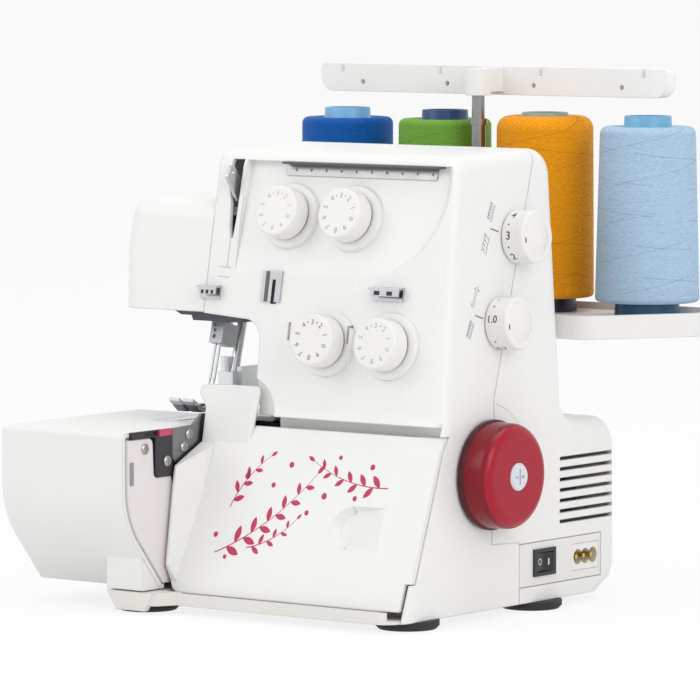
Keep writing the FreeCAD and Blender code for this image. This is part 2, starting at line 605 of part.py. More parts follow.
def make_bed():
    """Bed casting, swing-out cloth plate, needle plate and the fittings at the bed's right end."""
    walls = [
        box((-106, -100), (-98, -16), (BASE_TOP, BED_TOP - 4.2)),
        box((-102, -67), (-24, -16), (BASE_TOP, BED_TOP - 4.2)),
        box((-151, -104), (CLOTH_PIN[1] - 5, CLOTH_PIN[1] + 5), (58, 70)),
        box((-104, -66.4), (-98, -91), (BASE_TOP, 40)),
        rod(3.0, (*CLOTH_PIN, 40), (*CLOTH_PIN, 88)),
    ]
    block = joined(walls)
    foot = SHELL_FOOT + 0.4
    profile = [(FRONT_Y, BED_TOP, 3.5), (FRONT_Y, 55, 50), (-119.5, foot), (-28, foot), (-28, BED_TOP)]
    hull = prism(profile, "x", -HALF_WIDTH, BED_RIGHT_X)
    hull = round_rim(hull, 3.0, (-1, 0, 0), 20.0)
    inner = prism(profile, "x", -HALF_WIDTH + WALL, 0, WALL)
    cuts = [
        inner,
        box((-HALF_WIDTH + WALL, 0), (-116, 0), (0, BED_TOP - WALL)),
        box((-104.3, 0), (-80.6, 0), (50, 120)),
    ]
    skirt = [(-120.0, foot), (-135.4, foot), (-135.4, foot + 19.8), (-120.5, foot + 1.8)]
    plate = hull.cut(cuts).fuse(prism(skirt, "x", -92.5, BED_RIGHT_X - 0.5))
    for z in ((44, 56), (72, 84)):
        lug = rod(5.5, (*CLOTH_PIN, z[0]), (*CLOTH_PIN, z[1]))
        web = box((-HALF_WIDTH + 0.5, CLOTH_PIN[0]), (-34, CLOTH_PIN[1]), z)
        plate = plate.fuse([lug, web])
        plate = plate.cut(rod(3.0 + RUN, (*CLOTH_PIN, 30), (*CLOTH_PIN, 100)))
    plate = largest(plate.removeSplitter())
    needle_plate = box((-103.6, BED_RIGHT_X), (-80, -17), (BED_TOP - 4.0, BED_TOP))
    holes = [box((-91, -88), (-72, -38), (90, 120)), box((-78, -75), (-72, -38), (90, 120)),
             box((-87, -79.4), (-60.5, -48.5), (90, 120))]
    needle_plate = needle_plate.cut(holes)
    end_profile = [(-160, 102.5), (-128, 102.5, 4), (-126.8, 79, 3), (-111, 79), (-96, 40), (-88, 10),
                   (-160, 10)]
    end_cover = prism(end_profile, "x", -66.1, -63.7).common(prism(profile, "x", -80, -40, WALL + 0.5))
    carrier = joined([
        box((-64.8, -62.6), (-148.0, -110.6), (102.9, BED_TOP)),
        prism([(-126.4, 79.4, 3), (-110.6, 79.4), (-110.6, 104), (-126.4, 104)], "x", -66.2, -62.6),
        box((-72, -65.2), (-114, -104), (82, 100)),
        box((-72, -70), (-106, -91), (40, 104)),
    ])
    carrier = carrier.cut(box((-64.0, -60), (-136.4, -111.6), (104.0, 106.2)))
    knob = box((-63.9, -62.0), (-123.8, -112.0), (104.15, 106.05))
    knob = knob.fuse(box((-62.5, -61.7), (-123.8, -112.0), (103.2, BED_TOP))).removeSplitter()
    blade = prism([(-109.5, 106.8), (-91, 107.4), (-82.5, 113.5), (-79, 113.5), (-77.2, 108.5),
                   (-74.8, 102.4), (-79.4, 98.8), (-93, 91.6), (-107, 86), (-110.2, 90)], "x", -64.9, -63.3)
    return {
        "bed_block": block, "cloth_plate": plate, "needle_plate": needle_plate, "bed_end_cover": end_cover,
        "knife_carrier": carrier, "stitch_finger_knob": knob, "lower_knife": blade,
    }


def make_sewing_head():
    """Needle bar, presser bar and foot, take-up lever and presser lifter."""
    foot = on_needle(152.5)
    bar = leaning(rod(3.2, (0, 0, 0), (0, 0, 80)), foot)
    clamp = box((-4.8, 4.8), (-9, 5), (-3, 10))
    clamp = clamp.cut([rod(3.23, (0, 0, -1), (0, 0, 20)), box((-3, 3), (-10, -7.4), (7.0, 8.8))])
    pins = []
    for x in (-1.6, 1.6):
        clamp = clamp.cut(rod(0.86, (x, -6.2, -10), (x, -6.2, 3)))
        clamp = clamp.cut(rod(1.2, (-1.4, -12, 3 + x * 1.2), (-1.4, -7.6, 3 + x * 1.2)))
        pins.append(leaning(joined([rod(0.82, (x, -6.2, -24), (x, -6.2, 2.8)),
                                    taper(0.15, 0.82, (x, -6.2, -30), (x, -6.2, -24))]), foot))
    presser_foot_z = 127.0
    presser_bar = leaning(rod(3.0, (0, 0, 0), (0, 0, 102)), on_presser(presser_foot_z))
    sole = prism([(-78, 119.4), (-78, 121.4), (-68, 115.6), (-18, 115.6), (-18, 112.6), (-70, 112.6)],
                 "x", -91.5, -73.5)
    sole = sole.cut([box((-87.5, -78), (-63, -44), (100, 130)), box((-84, -81), (-90, -60), (100, 130))])
    ankle = box((-88.5, -77.5), (-35, -21), (114, 134))
    lever = box((-78, -74.5), (-30, -11), (124, 137))
    shank = rod(3.8, (-87, -28.5, 120), (-87, -28.5, 142.5))
    presser_foot = joined([sole, ankle, lever, shank])
    presser_foot = presser_foot.cut(leaning(rod(3.03, (0, 0, 0), (0, 0, 40)), on_presser(presser_foot_z)))
    takeup = prism([(-21.5, 202), (-55, 240), (-63, 252, 2), (-58, 260, 2), (-51, 252), (-14.5, 208)],
                   "x", -61, -59)
    takeup = takeup.fuse(rod(5.0, (-61, *TAKEUP_PIVOT), (-59, *TAKEUP_PIVOT)))
    takeup = takeup.cut([rod(2.0 + RUN, (-64, *TAKEUP_PIVOT), (-50, *TAKEUP_PIVOT)),
                         rod(1.3, (-64, -57.8, 254.6), (-50, -57.8, 254.6))]).removeSplitter()
    lifter = prism([(3, 183.5), (37, 190.5), (46, 194, 2), (45, 199.5, 2), (35, 197.5), (3, 193)],
                   "x", -99.5, -93.5)
    lifter = lifter.fuse(rod(6.0, (-99.5, *LIFTER_PIVOT), (-93.5, *LIFTER_PIVOT)))
    lifter = lifter.cut(rod(2.5 + RUN, (-110, *LIFTER_PIVOT), (-80, *LIFTER_PIVOT))).removeSplitter()
    return {
        "needle_bar": bar, "needle_clamp": leaning(clamp, foot), "needles": Part.makeCompound(pins),
        "presser_bar": presser_bar, "presser_foot": presser_foot, "takeup_lever": takeup,
        "presser_lifter": lifter,
    }


def make_loopers():
    """Upper and lower loopers, moving knife and feed dogs behind the front cover."""
    x, z = LOWER_LOOPER_PIVOT
    lower = prism([(x - 5, z - 6, 4), (x + 6, z - 6, 4), (x + 6, z + 4, 4), (x - 14, z + 26, 8), (-92, 96.5),
                   (-93, 94.5), (x - 22, z + 18, 8)], "y", -72, -69)
    lower = joined([lower, rod(4.0, (x, -72, z), (x, -44, z))])
    x, z = UPPER_LOOPER_PIVOT
    upper = prism([(x - 6, z - 6, 4), (x + 6, z - 6, 4), (x + 6, z + 6, 4), (x - 30, z + 40, 10), (-66, 98),
                   (-68, 95), (x - 40, z + 32, 8)], "y", -79, -76)
    upper = joined([upper, rod(4.0, (x, -79, z), (x, -44, z))])
    knife_x = (-60.2, -58.0)
    y, z = KNIFE_PIVOT
    knife = prism([(y + 6, z - 6, 4), (y + 6, z + 6, 4), (-58, 103), (-64.5, 108), (-64.5, 116),
                   (-73.5, 116), (-72.5, 98), (-64, 93), (y - 4, z - 6)], "x", *knife_x)
    knife = knife.cut(rod(2.5 + RUN, (-70, y, z), (-40, y, z)))
    dogs = [box((-93, -73), (-68, -42), (88, 96))]
    dogs += [box((x - 1, x + 1), (-68, -42), (95, BED_TOP - 0.6)) for x in (-89.5, -76.5)]
    return {"lower_looper": lower, "upper_looper": upper, "upper_knife": knife, "feed_dogs": joined(dogs)}


def make_guides():
    """Bright metal thread guides on the front."""
    lip_y = panel_y(RECESS_TOP_Z)
    top = RECESS_TOP_Z - 0.1
    back_y = recess_y(top - 8)
    flange_plan = [(-27, -0.9), (82, -0.9), (82, -0.05), (-27, -0.05)]
    flange = slanted(flange_plan, (top - 8, top - 0.2), RECESS_SLOPE, back_y)
    strip = joined([box((-27, 87), (lip_y - 1.2, lip_y + 5.0), (top - 1.2, top)), flange])
    strip = strip.cut([rod(0.9, (x, -70, top - 4.5), (x, -40, top - 4.5)) for x in range(-20, 80, 11)])

    def strip_on_panel(x, depth, z):
        """Flat piece that follows the leaning panel."""
        corners = [(x[0], depth[0]), (x[1], depth[0]), (x[1], depth[1]), (x[0], depth[1])]
        return slanted(corners, z, PANEL_SLOPE, panel_y(z[0]))

    slotted = strip_on_panel((-32, -18), (-1.2, 0), (180, 198))
    guides = [slotted.cut(box((-24.5, -22), (-90, -40), (178, 193)))]
    for x, z in (((-77, -62.5), (180, 188)), ((49, 71), (184, 192))):
        guides.append(joined([
            strip_on_panel(x, (-1.2, 0), z),
            strip_on_panel(x, (-6, -0.5), (z[1] - 1.2, z[1])),
            strip_on_panel((x[0] + 2, x[1]), (-6, -5), (z[1] - 5, z[1])),
        ]))
    return {"top_guide_strip": strip, "front_thread_guides": Part.makeCompound(guides)}


def make_power_inlet():
    """Panel with the rocker switch and the three-pin inlet."""
    panel = box((SIDE_X - 2.8, SIDE_X + 2), (-0.5, 82.5), (14.8, 40.0)).common(body_hull(0.3))
    switch_y, switch_z = 24.0, 28.0
    inlet_y, inlet_z = 67.0, 27.5
    panel = panel.cut([box((90, 120), (switch_y - 10, switch_y + 10), (switch_z - 7.2, switch_z + 7.2)),
                       box((90, 120), (inlet_y - 14, inlet_y + 14), (inlet_z - 8, inlet_z + 8))])

    def around(middle, half):
        """The two ends of a length about its middle."""
        return (middle - half, middle + half)

    body = joined([box((SIDE_X - 0.2, SIDE_X + 1.0), around(switch_y, 11), around(switch_z, 8)),
                   box((SIDE_X - 12, SIDE_X), around(switch_y, 9.8), around(switch_z, 7))])
    body = body.cut(box((SIDE_X - 10, SIDE_X + 3), around(switch_y, 8.5), around(switch_z, 5.8)))
    pivot_x = SIDE_X - 4.0
    pivot = ((pivot_x, switch_y, switch_z - 6.6), (pivot_x, switch_y, switch_z + 6.6))
    body = body.cut(rod(1.0 + RUN, *pivot))
    rocker = prism([(5.6, -7.4), (3.8, 0), (5.6, 7.4), (-2, 5.5), (-2, -5.5)], "z", *around(switch_z, 5.4))
    rocker.rotate(V(0, 0, 0), V(0, 0, 1), -8)
    rocker.translate(V(pivot_x, switch_y, 0))
    rocker = rocker.fuse(rod(1.0, *pivot)).removeSplitter()
    socket = box((SIDE_X - 13, SIDE_X - 0.4), around(inlet_y, 13.8), around(inlet_z, 7.8))
    pins = []
    for step in (-1, 0, 1):
        y = inlet_y + 7.6 * step
        socket = socket.cut(rod(4.6, (SIDE_X - 10, y, inlet_z), (SIDE_X + 5, y, inlet_z)))
        pins.append(rod(1.4, (SIDE_X - 10, y, inlet_z), (SIDE_X - 1.5, y, inlet_z)))
    return {"switch_panel": panel, "switch_body": body, "power_rocker": rocker, "inlet_socket": socket,
            "inlet_pins": Part.makeCompound(pins)}


def make_stand():
    """Spool tray on its bracket, with pins, telescopic pole, guide bar and cones of thread."""
    plan = [(-118, 50, 14), (118, 50, 14), (HALF_WIDTH, 112, 24), (HALF_WIDTH, BACK_Y, 28),
            (-HALF_WIDTH, BACK_Y, 28), (-HALF_WIDTH, 112, 24)]
    tray = prism(plan, "z", TRAY_FOOT, TRAY_RIM)
    tray = tray.cut(prism(plan, "z", TRAY_FLOOR, TRAY_RIM + 1, WALL))
    hollow = prism(plan, "z", TRAY_FOOT - 1, TRAY_FLOOR - WALL, WALL)
    rib = box((-44, 48), (50, 112), (0, 300))
    tray = tray.cut(hollow.cut(rib))
    plate_y = (COLUMN_BACK_Y, COLUMN_BACK_Y + 3.2)
    upright = box((-24, 54), plate_y, (122, 156.8))
    bracket = joined([upright, box((-24, 44), (plate_y[0], 108), (153.6, 156.8))])
    pins = []
    made = {}
    for i, (name, below, above, thread_top, top) in enumerate(CONES):
        x = CONE_MIDDLE_X + (i - 1.5) * CONE_SPACING
        pins.append(joined([rod(3.0, (x, CONE_Y, TRAY_FLOOR), (x, CONE_Y, 255)),
                            rod(9.0, (x, CONE_Y, TRAY_FLOOR), (x, CONE_Y, TRAY_FLOOR + 2))]))
        low = (x, CONE_Y, TRAY_FLOOR + 0.1)
        high = (x, CONE_Y, top)
        wide, slim = TUBE_RADII
        core = taper(wide, slim, low, high).cut(taper(wide - TUBE_WALL, slim - TUBE_WALL, low, high))
        thread = taper(below, above, (x, CONE_Y, THREAD_FOOT_Z), (x, CONE_Y, thread_top))
        thread = thread.cut(taper(wide + 0.05, slim + 0.05, low, high))
        made[name] = Part.makeCompound([thread, core])
    x, y = POLE
    outer = ring(4.5, 3.9 + RUN, (x, y, TRAY_FLOOR), (x, y, 283))
    outer = outer.fuse(ring(5.4, 3.9 + RUN, (x, y, 279), (x, y, 283))).removeSplitter()
    inner = rod(3.9, (x, y, 172), (x, y, 309))
    bar_x = (CONE_MIDDLE_X - 128.5, CONE_MIDDLE_X + 128.5)
    low, high = GUIDE_BAR_Z
    bar = prism([(bar_x[0], low, 9), (bar_x[1], low, 9), (bar_x[1], high, 3), (bar_x[0], high, 3)],
                "y", CONE_Y - 5, CONE_Y + 5)
    hub = rod(8.0, (x, y, low), (x, y, high - 1))
    neck = box((x - 8, x + 8), (y, CONE_Y), (low + 2, high - 1))
    bar = joined([bar, hub, neck])
    cuts = [rod(3.9 + RUN, (x, y, low - 5), (x, y, 310))]
    for i in range(4):
        eye_x = CONE_MIDDLE_X + (i - 1.5) * CONE_SPACING
        cuts.append(box((eye_x - 1.2, eye_x + 1.2), (CONE_Y - 10, CONE_Y + 10), (high - 5, high + 1)))
        lower_x = CONE_MIDDLE_X + (i - 1.5) * CONE_SPACING * 0.86
        cuts.append(rod(1.5, (lower_x, CONE_Y - 10, low + 6), (lower_x, CONE_Y + 10, low + 6)))
    made.update({
        "spool_tray": tray, "tray_bracket": bracket, "spool_pins": Part.makeCompound(pins),
        "pole_outer_tube": outer, "pole_inner_rod": inner, "thread_guide_bar": bar.cut(cuts),
    })
    return made


def make_screws():
    """Cross-head screws that show on the outside."""
    head = turned([(0, 0), (3.2, 0), (3.2, 0.6), (2.4, 1.2), (0, 1.2)])
    cross = box((-2, 2), (-0.4, 0.4), (0.6, 3)).fuse(box((-0.4, 0.4), (-2, 2), (0.6, 3)))
    head = head.cut(cross)
    places = [((-63.7, -135.0, 96.5), (1, 0, 0)), ((-63.3, -94.5, 102.2), (1, 0, 0)),
              ((-63.3, -99.5, 95.0), (1, 0, 0)), ((-62.6, -116.0, 88.2), (1, 0, 0))]
    places += [((x, COLUMN_BACK_Y, z), (0, 1, 0)) for x in (-20, 80) for z in (205, 245)]
    places += [((x, COLUMN_BACK_Y + 3.2, z), (0, 1, 0)) for x in (-16, 46) for z in (128, 146)]
    return {"panel_screws": Part.makeCompound([seated(head, point, axis) for point, axis in places])}


os.makedirs("parts", exist_ok=True)
MAKERS = (
    make_base, make_frame, make_housings, make_face_cover, make_drive, make_dials, make_looper_cover,
    make_bed, make_sewing_head, make_loopers, make_guides, make_power_inlet, make_stand, make_screws,
)
total = 0
for maker in MAKERS:
    for name, shape in maker().items():
        shape.exportStep("parts/" + name + ".step")
        total += 1
        room = shape.BoundBox
        ends = (room.XMin, room.XMax, room.YMin, room.YMax, room.ZMin, room.ZMax)
        print(name, len(shape.Solids), shape.isValid(), round(shape.Volume / 1000, 1),
              [round(end, 1) for end in ends])
print(total, "nodes")
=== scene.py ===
import math
import bpy
import numpy as np
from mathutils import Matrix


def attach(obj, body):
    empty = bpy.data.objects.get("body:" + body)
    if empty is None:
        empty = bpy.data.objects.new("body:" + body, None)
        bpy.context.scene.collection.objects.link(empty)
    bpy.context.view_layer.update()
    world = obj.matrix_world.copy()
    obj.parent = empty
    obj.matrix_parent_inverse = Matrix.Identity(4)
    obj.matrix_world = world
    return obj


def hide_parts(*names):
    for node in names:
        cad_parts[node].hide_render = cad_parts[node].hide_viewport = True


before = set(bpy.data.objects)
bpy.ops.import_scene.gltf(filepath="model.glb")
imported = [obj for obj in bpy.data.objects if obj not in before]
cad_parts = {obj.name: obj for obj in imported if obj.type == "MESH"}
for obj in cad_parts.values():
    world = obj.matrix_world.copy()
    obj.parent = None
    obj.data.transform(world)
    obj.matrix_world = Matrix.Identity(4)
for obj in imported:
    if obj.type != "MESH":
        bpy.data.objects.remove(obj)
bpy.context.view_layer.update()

# Base plate and rubber feet.
# The base is one white moulded tray under the whole machine, and four black rubber feet are pressed
# into its underside to carry the weight on the table.
MM = 0.001


class Socket:
    """The output of a shader node. Arithmetic on it adds Math nodes to the same finish."""

    def __init__(self, finish, output):
        self.finish = finish
        self.output = output

    def maths(self, operation, first, second=0.0):
        return self.finish.node("ShaderNodeMath", {"operation": operation}, {0: first, 1: second})

    def __add__(self, other):
        return self.maths("ADD", self, other)

    def __sub__(self, other):
        return self.maths("SUBTRACT", self, other)

    def __rsub__(self, other):
        return self.maths("SUBTRACT", other, self)

    def __mul__(self, other):
        return self.maths("MULTIPLY", self, other)

    def __gt__(self, other):
        return self.maths("GREATER_THAN", self, other)

    def __lt__(self, other):
        return self.maths("LESS_THAN", self, other)

    def wave(self):
        return self.maths("SINE", self)

    def share(self):
        return self.maths("FRACT", self)

    __radd__ = __add__
    __rmul__ = __mul__


class Finish:
    """A material, or the world, with one shader, one way to add a node and one way to feed the shader."""

    def __init__(self, name, world=None):
        self.material = world or bpy.data.materials.new(name)
        self.material.use_nodes = True
        self.tree = self.material.node_tree
        self.shader = self.tree.nodes["Background" if world else "Principled BSDF"]

    def join(self, socket, value):
        if isinstance(value, Socket):
            self.tree.links.new(value.output, socket)
        else:
            socket.default_value = value

    def node(self, kind, settings, sockets, output=0):
        made = self.tree.nodes.new(kind)
        for key, value in settings.items():
            setattr(made, key, value)
        for key, value in sockets.items():
            self.join(made.inputs[key], value)
        return Socket(self, made.outputs[output])

    def feed(self, sockets):
        for key, value in sockets.items():
            self.join(self.shader.inputs[key], value)

    def place(self, output="Object"):
        return self.node("ShaderNodeTexCoord", {}, {}, output)

    def along(self, axis):
        return self.node("ShaderNodeSeparateXYZ", {}, {"Vector": self.place()}, axis)

    def cloud(self, vector, scale, detail=3.0):
        return self.node("ShaderNodeTexNoise", {}, {"Vector": vector, "Scale": scale, "Detail": detail})

    def blend(self, share, first, second):
        return self.node("ShaderNodeMix", {"data_type": "RGBA"}, {0: share, 6: first, 7: second}, 2)

    def relief(self, height, depth, strength, edge):
        """Bump by a height over a normal that rounds sharp edges by a small radius."""
        rounded = self.node("ShaderNodeBevel", {"samples": 6}, {"Radius": edge})
        sockets = {"Strength": strength, "Distance": depth, "Height": height, "Normal": rounded}
        return self.node("ShaderNodeBump", {}, sockets)


def paint(red, green, blue):
    """Linear colour of a paint given by its eight-bit display values."""
    display = np.array([red, green, blue]) / 255
    linear = np.where(display <= 0.04045, display / 12.92, ((display + 0.055) / 1.055) ** 2.4)
    return (*linear.tolist(), 1.0)


def shade(colour, share):
    """The same colour with less light in it."""
    return (*[part * share for part in colour[:3]], 1.0)


def moulded(name, colour, gloss=0.36, edge=0.7):
    """Moulded plastic: colour and gloss drift slowly over the piece, a fine grain roughens the skin,
    and sharp edges catch the light as a small radius."""
    finish = Finish(name)
    place = finish.place()
    drift = finish.cloud(place, 26.0)
    grain = finish.cloud(place, 1100.0, 2.0)
    finish.feed({
        "Base Color": finish.blend(drift, shade(colour, 0.96), colour),
        "Roughness": drift * 0.12 + (gloss - 0.06),
        "Normal": finish.relief(grain, 0.00004, 0.05, edge * MM),
    })
    return finish


def rubbery(name, colour):
    """Rubber: matt, with a dusty bloom and a coarse grain."""
    finish = Finish(name)
    place = finish.place()
    bloom = finish.cloud(place, 90.0)
    grain = finish.cloud(place, 2200.0, 2.0)
    finish.feed({
        "Base Color": finish.blend(bloom, colour, shade(colour, 1.9)),
        "Roughness": bloom * 0.2 + 0.6,
        "Normal": finish.relief(grain, 0.0001, 0.3, 0.4 * MM),
    })
    return finish


def dress(finish, *nodes):
    """Gives the named solids a finish."""
    for node in nodes:
        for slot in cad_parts[node].material_slots:
            slot.material = finish.material


dress(moulded("base_skin", paint(232, 230, 224), 0.42), "base_plate")
dress(rubbery("foot_skin", paint(34, 33, 35)), "rubber_feet")

# Cast frame, bed block and bushes.
# The frame and the bed block are die-cast alloy, blasted to an even grey grain, and carry bronze
# bushes pressed into their bores.


def metal(name, colour, rough, streaks, edge=0.25):
    """Metal with tool marks: noise drawn out along the tool's path lifts the skin and dulls it in
    fine streaks. The three numbers set how closely the marks lie along each axis."""
    finish = Finish(name)
    marks = finish.node("ShaderNodeMapping", {}, {"Vector": finish.place(), "Scale": streaks})
    streak = finish.cloud(marks, 1.0, 4.0)
    tarnish = finish.cloud(finish.place(), 60.0)
    finish.feed({
        "Base Color": finish.blend(tarnish, shade(colour, 0.86), colour),
        "Metallic": 1.0,
        "Roughness": streak * 0.16 + tarnish * 0.08 + (rough - 0.1),
        "Normal": finish.relief(streak, 0.00005, 0.25, edge * MM),
    })
    return finish


dress(metal("cast_skin", paint(104, 104, 109), 0.5, (700.0, 700.0, 700.0)), "machine_frame", "bed_block")
dress(metal("bush_skin", paint(196, 152, 88), 0.32, (900.0, 40.0, 40.0)), "bearing_bushes")

# Main shaft, pulleys, motor and belt.
# A ground steel shaft turns in the bushes and is driven by a painted motor through moulded pulleys
# and a rubber belt. All of it sits inside the housing.
ground_steel = metal("ground_steel", paint(186, 187, 191), 0.26, (1200.0, 30.0, 30.0))
dress(ground_steel, "main_shaft")
dress(moulded("pulley_skin", paint(44, 44, 47), 0.45), "main_pulley", "motor_pulley")
dress(moulded("motor_paint", paint(92, 95, 100), 0.4), "motor")
zinc_plate = metal("zinc_plate", paint(176, 178, 182), 0.38, (60.0, 60.0, 500.0))
dress(zinc_plate, "motor_bracket")
dress(rubbery("belt_skin", paint(36, 35, 35)), "drive_belt")

# Cloth plate, needle plate and the fittings at the bed's right end.
# The cloth plate is a white moulding on a hinge pin, the needle plate is polished steel, and a black
# bracket carries the fixed knife and the pink stitch-finger slide. The end cover has a grey latch.
dress(moulded("cloth_plate_skin", paint(238, 238, 236), 0.35, 1.0), "cloth_plate")
dress(moulded("bed_end_skin", paint(233, 228, 228), 0.4, 0.8), "bed_end_cover")
dress(metal("needle_plate_steel", paint(196, 197, 201), 0.24, (30.0, 900.0, 30.0)), "needle_plate")
dress(moulded("bracket_black", paint(46, 42, 48), 0.36, 0.4), "knife_carrier")
dress(moulded("slide_pink", paint(204, 66, 106), 0.34, 0.4), "stitch_finger_knob")
knife_steel = metal("knife_steel", paint(146, 145, 148), 0.3, (30.0, 500.0, 500.0))
dress(knife_steel, "lower_knife")


def placed(name, mesh, finish, body):
    """Object at the origin that shows a mesh in one finish and rides on a body."""
    mesh.materials.append(finish.material)
    piece = bpy.data.objects.new(name, mesh)
    bpy.context.scene.collection.objects.link(piece)
    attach(piece, body)
    return piece


def surface(name, points, finish, body, slot, capped=True, crease=38):
    """Mesh over a grid of points in metres. Each row is joined to the next and the last column to the
    first, and the end rows are closed by flat faces when capped."""
    rows, columns = points.shape[:2]
    index = np.arange(rows * columns).reshape(rows, columns)
    ahead = np.roll(index, -1, axis=1)
    quads = np.stack([index[:-1], ahead[:-1], ahead[1:], index[1:]], axis=-1).reshape(-1, 4)
    faces = quads.tolist()
    if capped:
        faces += [index[0, ::-1].tolist(), index[-1].tolist()]
    mesh = bpy.data.meshes.new(name)
    mesh.from_pydata(points.reshape(-1, 3).tolist(), [], faces)
    mesh.shade_smooth()
    mesh.set_sharp_from_angle(angle=math.radians(crease))
    return placed(name, mesh, finish, body)


def slab(low, high, ease):
    """Block with eased edges on its +X face, as rings of a rounded rectangle in Y and Z that step
    along X: full size at the foot, drawn in by the easing at the top."""
    low = np.array(low)
    high = np.array(high)
    angle = np.linspace(0, 2 * np.pi, 48, endpoint=False)
    round_off = np.stack([np.cos(angle), np.sin(angle)], axis=1)
    middle = (low[1:] + high[1:]) / 2
    half = (high[1:] - low[1:]) / 2
    steps = np.array([(low[0], 0.0), (high[0] - ease, 0.0), (high[0] - ease * 0.3, 0.3), (high[0], 1.0)])
    radius = min(half) * 0.45
    corner = np.sign(round_off) * (half - radius) + round_off * radius
    rings = middle + corner[None] * (1 - steps[:, 1, None, None] * ease / half)
    x = np.broadcast_to(steps[:, 0, None, None], (*rings.shape[:2], 1))
    return np.concatenate([x, rings], axis=2) * MM


LATCH_LOW = (-64.2, -149.0, 76.0)
LATCH_HIGH = (-63.1, -145.6, 89.6)
LATCH_EASE = 0.3
latch = slab(LATCH_LOW, LATCH_HIGH, LATCH_EASE)
surface("plate_latch", latch, moulded("latch_grey", paint(150, 150, 153), 0.4, 0.3), "machine", "end_white")

# Loopers, moving knife and feed dogs.
# All are hardened steel, ground bright, and work behind the front cover and under the needle plate.
looper_steel = metal("looper_steel", paint(190, 190, 194), 0.22, (400.0, 30.0, 400.0))
dress(looper_steel, "lower_looper", "upper_looper")
dress(knife_steel, "upper_knife")
dress(metal("feed_steel", paint(158, 158, 162), 0.34, (40.0, 700.0, 40.0)), "feed_dogs")

# Needle bar, presser bar, presser foot, take-up and lifter.
# Plated steel pieces under and inside the head. The clamp is a block with a slot and two screw
# holes, and holds the needles.
chrome = metal("bright_plate", paint(200, 201, 205), 0.2, (160.0, 160.0, 160.0))
dress(chrome, "takeup_lever", "presser_lifter")
dress(metal("clamp_plate", paint(182, 183, 187), 0.42, (90.0, 90.0, 500.0)), "needle_clamp")
foot_skin = metal("foot_plate", paint(150, 151, 156), 0.3, (90.0, 400.0, 90.0))
SHANK_Z = 117.0
on_shank = foot_skin.along("Z") > SHANK_Z * MM
foot_skin.feed({"Base Color": foot_skin.blend(on_shank, paint(148, 149, 154), paint(226, 227, 230))})
dress(foot_skin, "presser_foot")
bar_steel = metal("bar_steel", paint(206, 207, 211), 0.18, (30.0, 30.0, 900.0))
dress(bar_steel, "needle_bar", "needles", "presser_bar")

# Housing halves and face cover.
# Two white gloss mouldings meet on a leaning seam at the right side, and a third covers the end of
# the sewing head. The skirt of the right side reaches down past the base.
shell = moulded("shell_white_skin", paint(241, 241, 239), 0.35, 1.4)
dress(shell, "front_housing", "rear_housing", "face_cover")

# Tension dials.
# Four white turned knobs on the front, each on its own post, over a dark grey collar that is painted
# shade at the knob's foot. Figures 0 to 9 are printed round the face, in a different tint for each thread.
KNEE_Z = 112.0
PANEL_KNEE_Y = -78.0
PANEL_SLOPE = 0.184
RECESS_FOOT_Z = 196.0
RECESS_TOP_Z = 261.5
RECESS_DEPTH = 6.0
RECESS_SLOPE = RECESS_DEPTH / (RECESS_TOP_Z - RECESS_FOOT_Z)


def panel_y(z):
    """Front panel's outer face at a height."""
    return PANEL_KNEE_Y + (z - KNEE_Z) * PANEL_SLOPE


def recess_y(z):
    """Outer face of the recessed upper panel at a height."""
    return panel_y(z) + (z - RECESS_FOOT_Z) * RECESS_SLOPE


def turned(profile, foot, axis, columns=160):
    """Turned piece: (radius, height) pairs, in millimetres, carried round an axis from a foot point
    in equal steps. Heights run along the axis."""
    profile = np.array(profile, float)
    axis = np.array(axis, float) / np.linalg.norm(axis)
    aside = np.cross((0.0, 0.0, 1.0) if abs(axis[2]) < 0.9 else (0.0, 1.0, 0.0), axis)
    aside = aside / np.linalg.norm(aside)
    over = np.cross(axis, aside)
    angle = np.linspace(0, 2 * np.pi, columns, endpoint=False)
    spoke = np.cos(angle)[:, None] * aside + np.sin(angle)[:, None] * over
    rise = profile[:, 1, None, None] * axis
    return (np.array(foot) + rise + profile[:, 0, None, None] * spoke[None]) * MM


def figure(text, size, weight=0.0):
    """Flat figures: a text curve, thickened by a share of its size and made a mesh, as its points and
    triangles."""
    curve = bpy.data.curves.new("figure", "FONT")
    curve.body = text
    curve.size = size
    curve.offset = size * weight
    curve.align_x = "CENTER"
    curve.align_y = "CENTER"
    carrier = bpy.data.objects.new("figure", curve)
    bpy.context.scene.collection.objects.link(carrier)
    flat = bpy.data.meshes.new_from_object(carrier)
    bpy.data.objects.remove(carrier)
    flat.calc_loop_triangles()
    spots = np.empty(len(flat.vertices) * 3)
    flat.vertices.foreach_get("co", spots)
    corners = np.empty(len(flat.loop_triangles) * 3, int)
    flat.loop_triangles.foreach_get("vertices", corners)
    bpy.data.meshes.remove(flat)
    return spots.reshape(-1, 3)[:, :2], corners.reshape(-1, 3)


def patch(outline):
    """Flat convex patch: a fan of triangles over an outline that runs anticlockwise."""
    outline = np.array(outline, float)
    count = len(outline)
    fan = np.stack([np.zeros(count - 2, int), np.arange(1, count - 1), np.arange(2, count)], axis=1)
    return outline, fan


def oval(halves, middle=(0.0, 0.0)):
    """Oval spot: the cosine and sine of an angle, drawn out to a half width and a half height."""
    angle = np.linspace(0, 2 * np.pi, 20, endpoint=False)
    return patch(np.array(middle) + np.array(halves) * np.stack([np.cos(angle), np.sin(angle)], axis=1))


def dot(radius, middle=(0.0, 0.0)):
    """Round spot: an oval with equal halves."""
    return oval((radius, radius), middle)


def ink(name, colour):
    """Printed ink: nearly flat, with a slightly uneven film."""
    finish = Finish(name)
    film = finish.cloud(finish.place(), 700.0)
    finish.feed({
        "Base Color": finish.blend(film, shade(colour, 0.85), colour),
        "Roughness": film * 0.2 + 0.35,
    })
    return finish


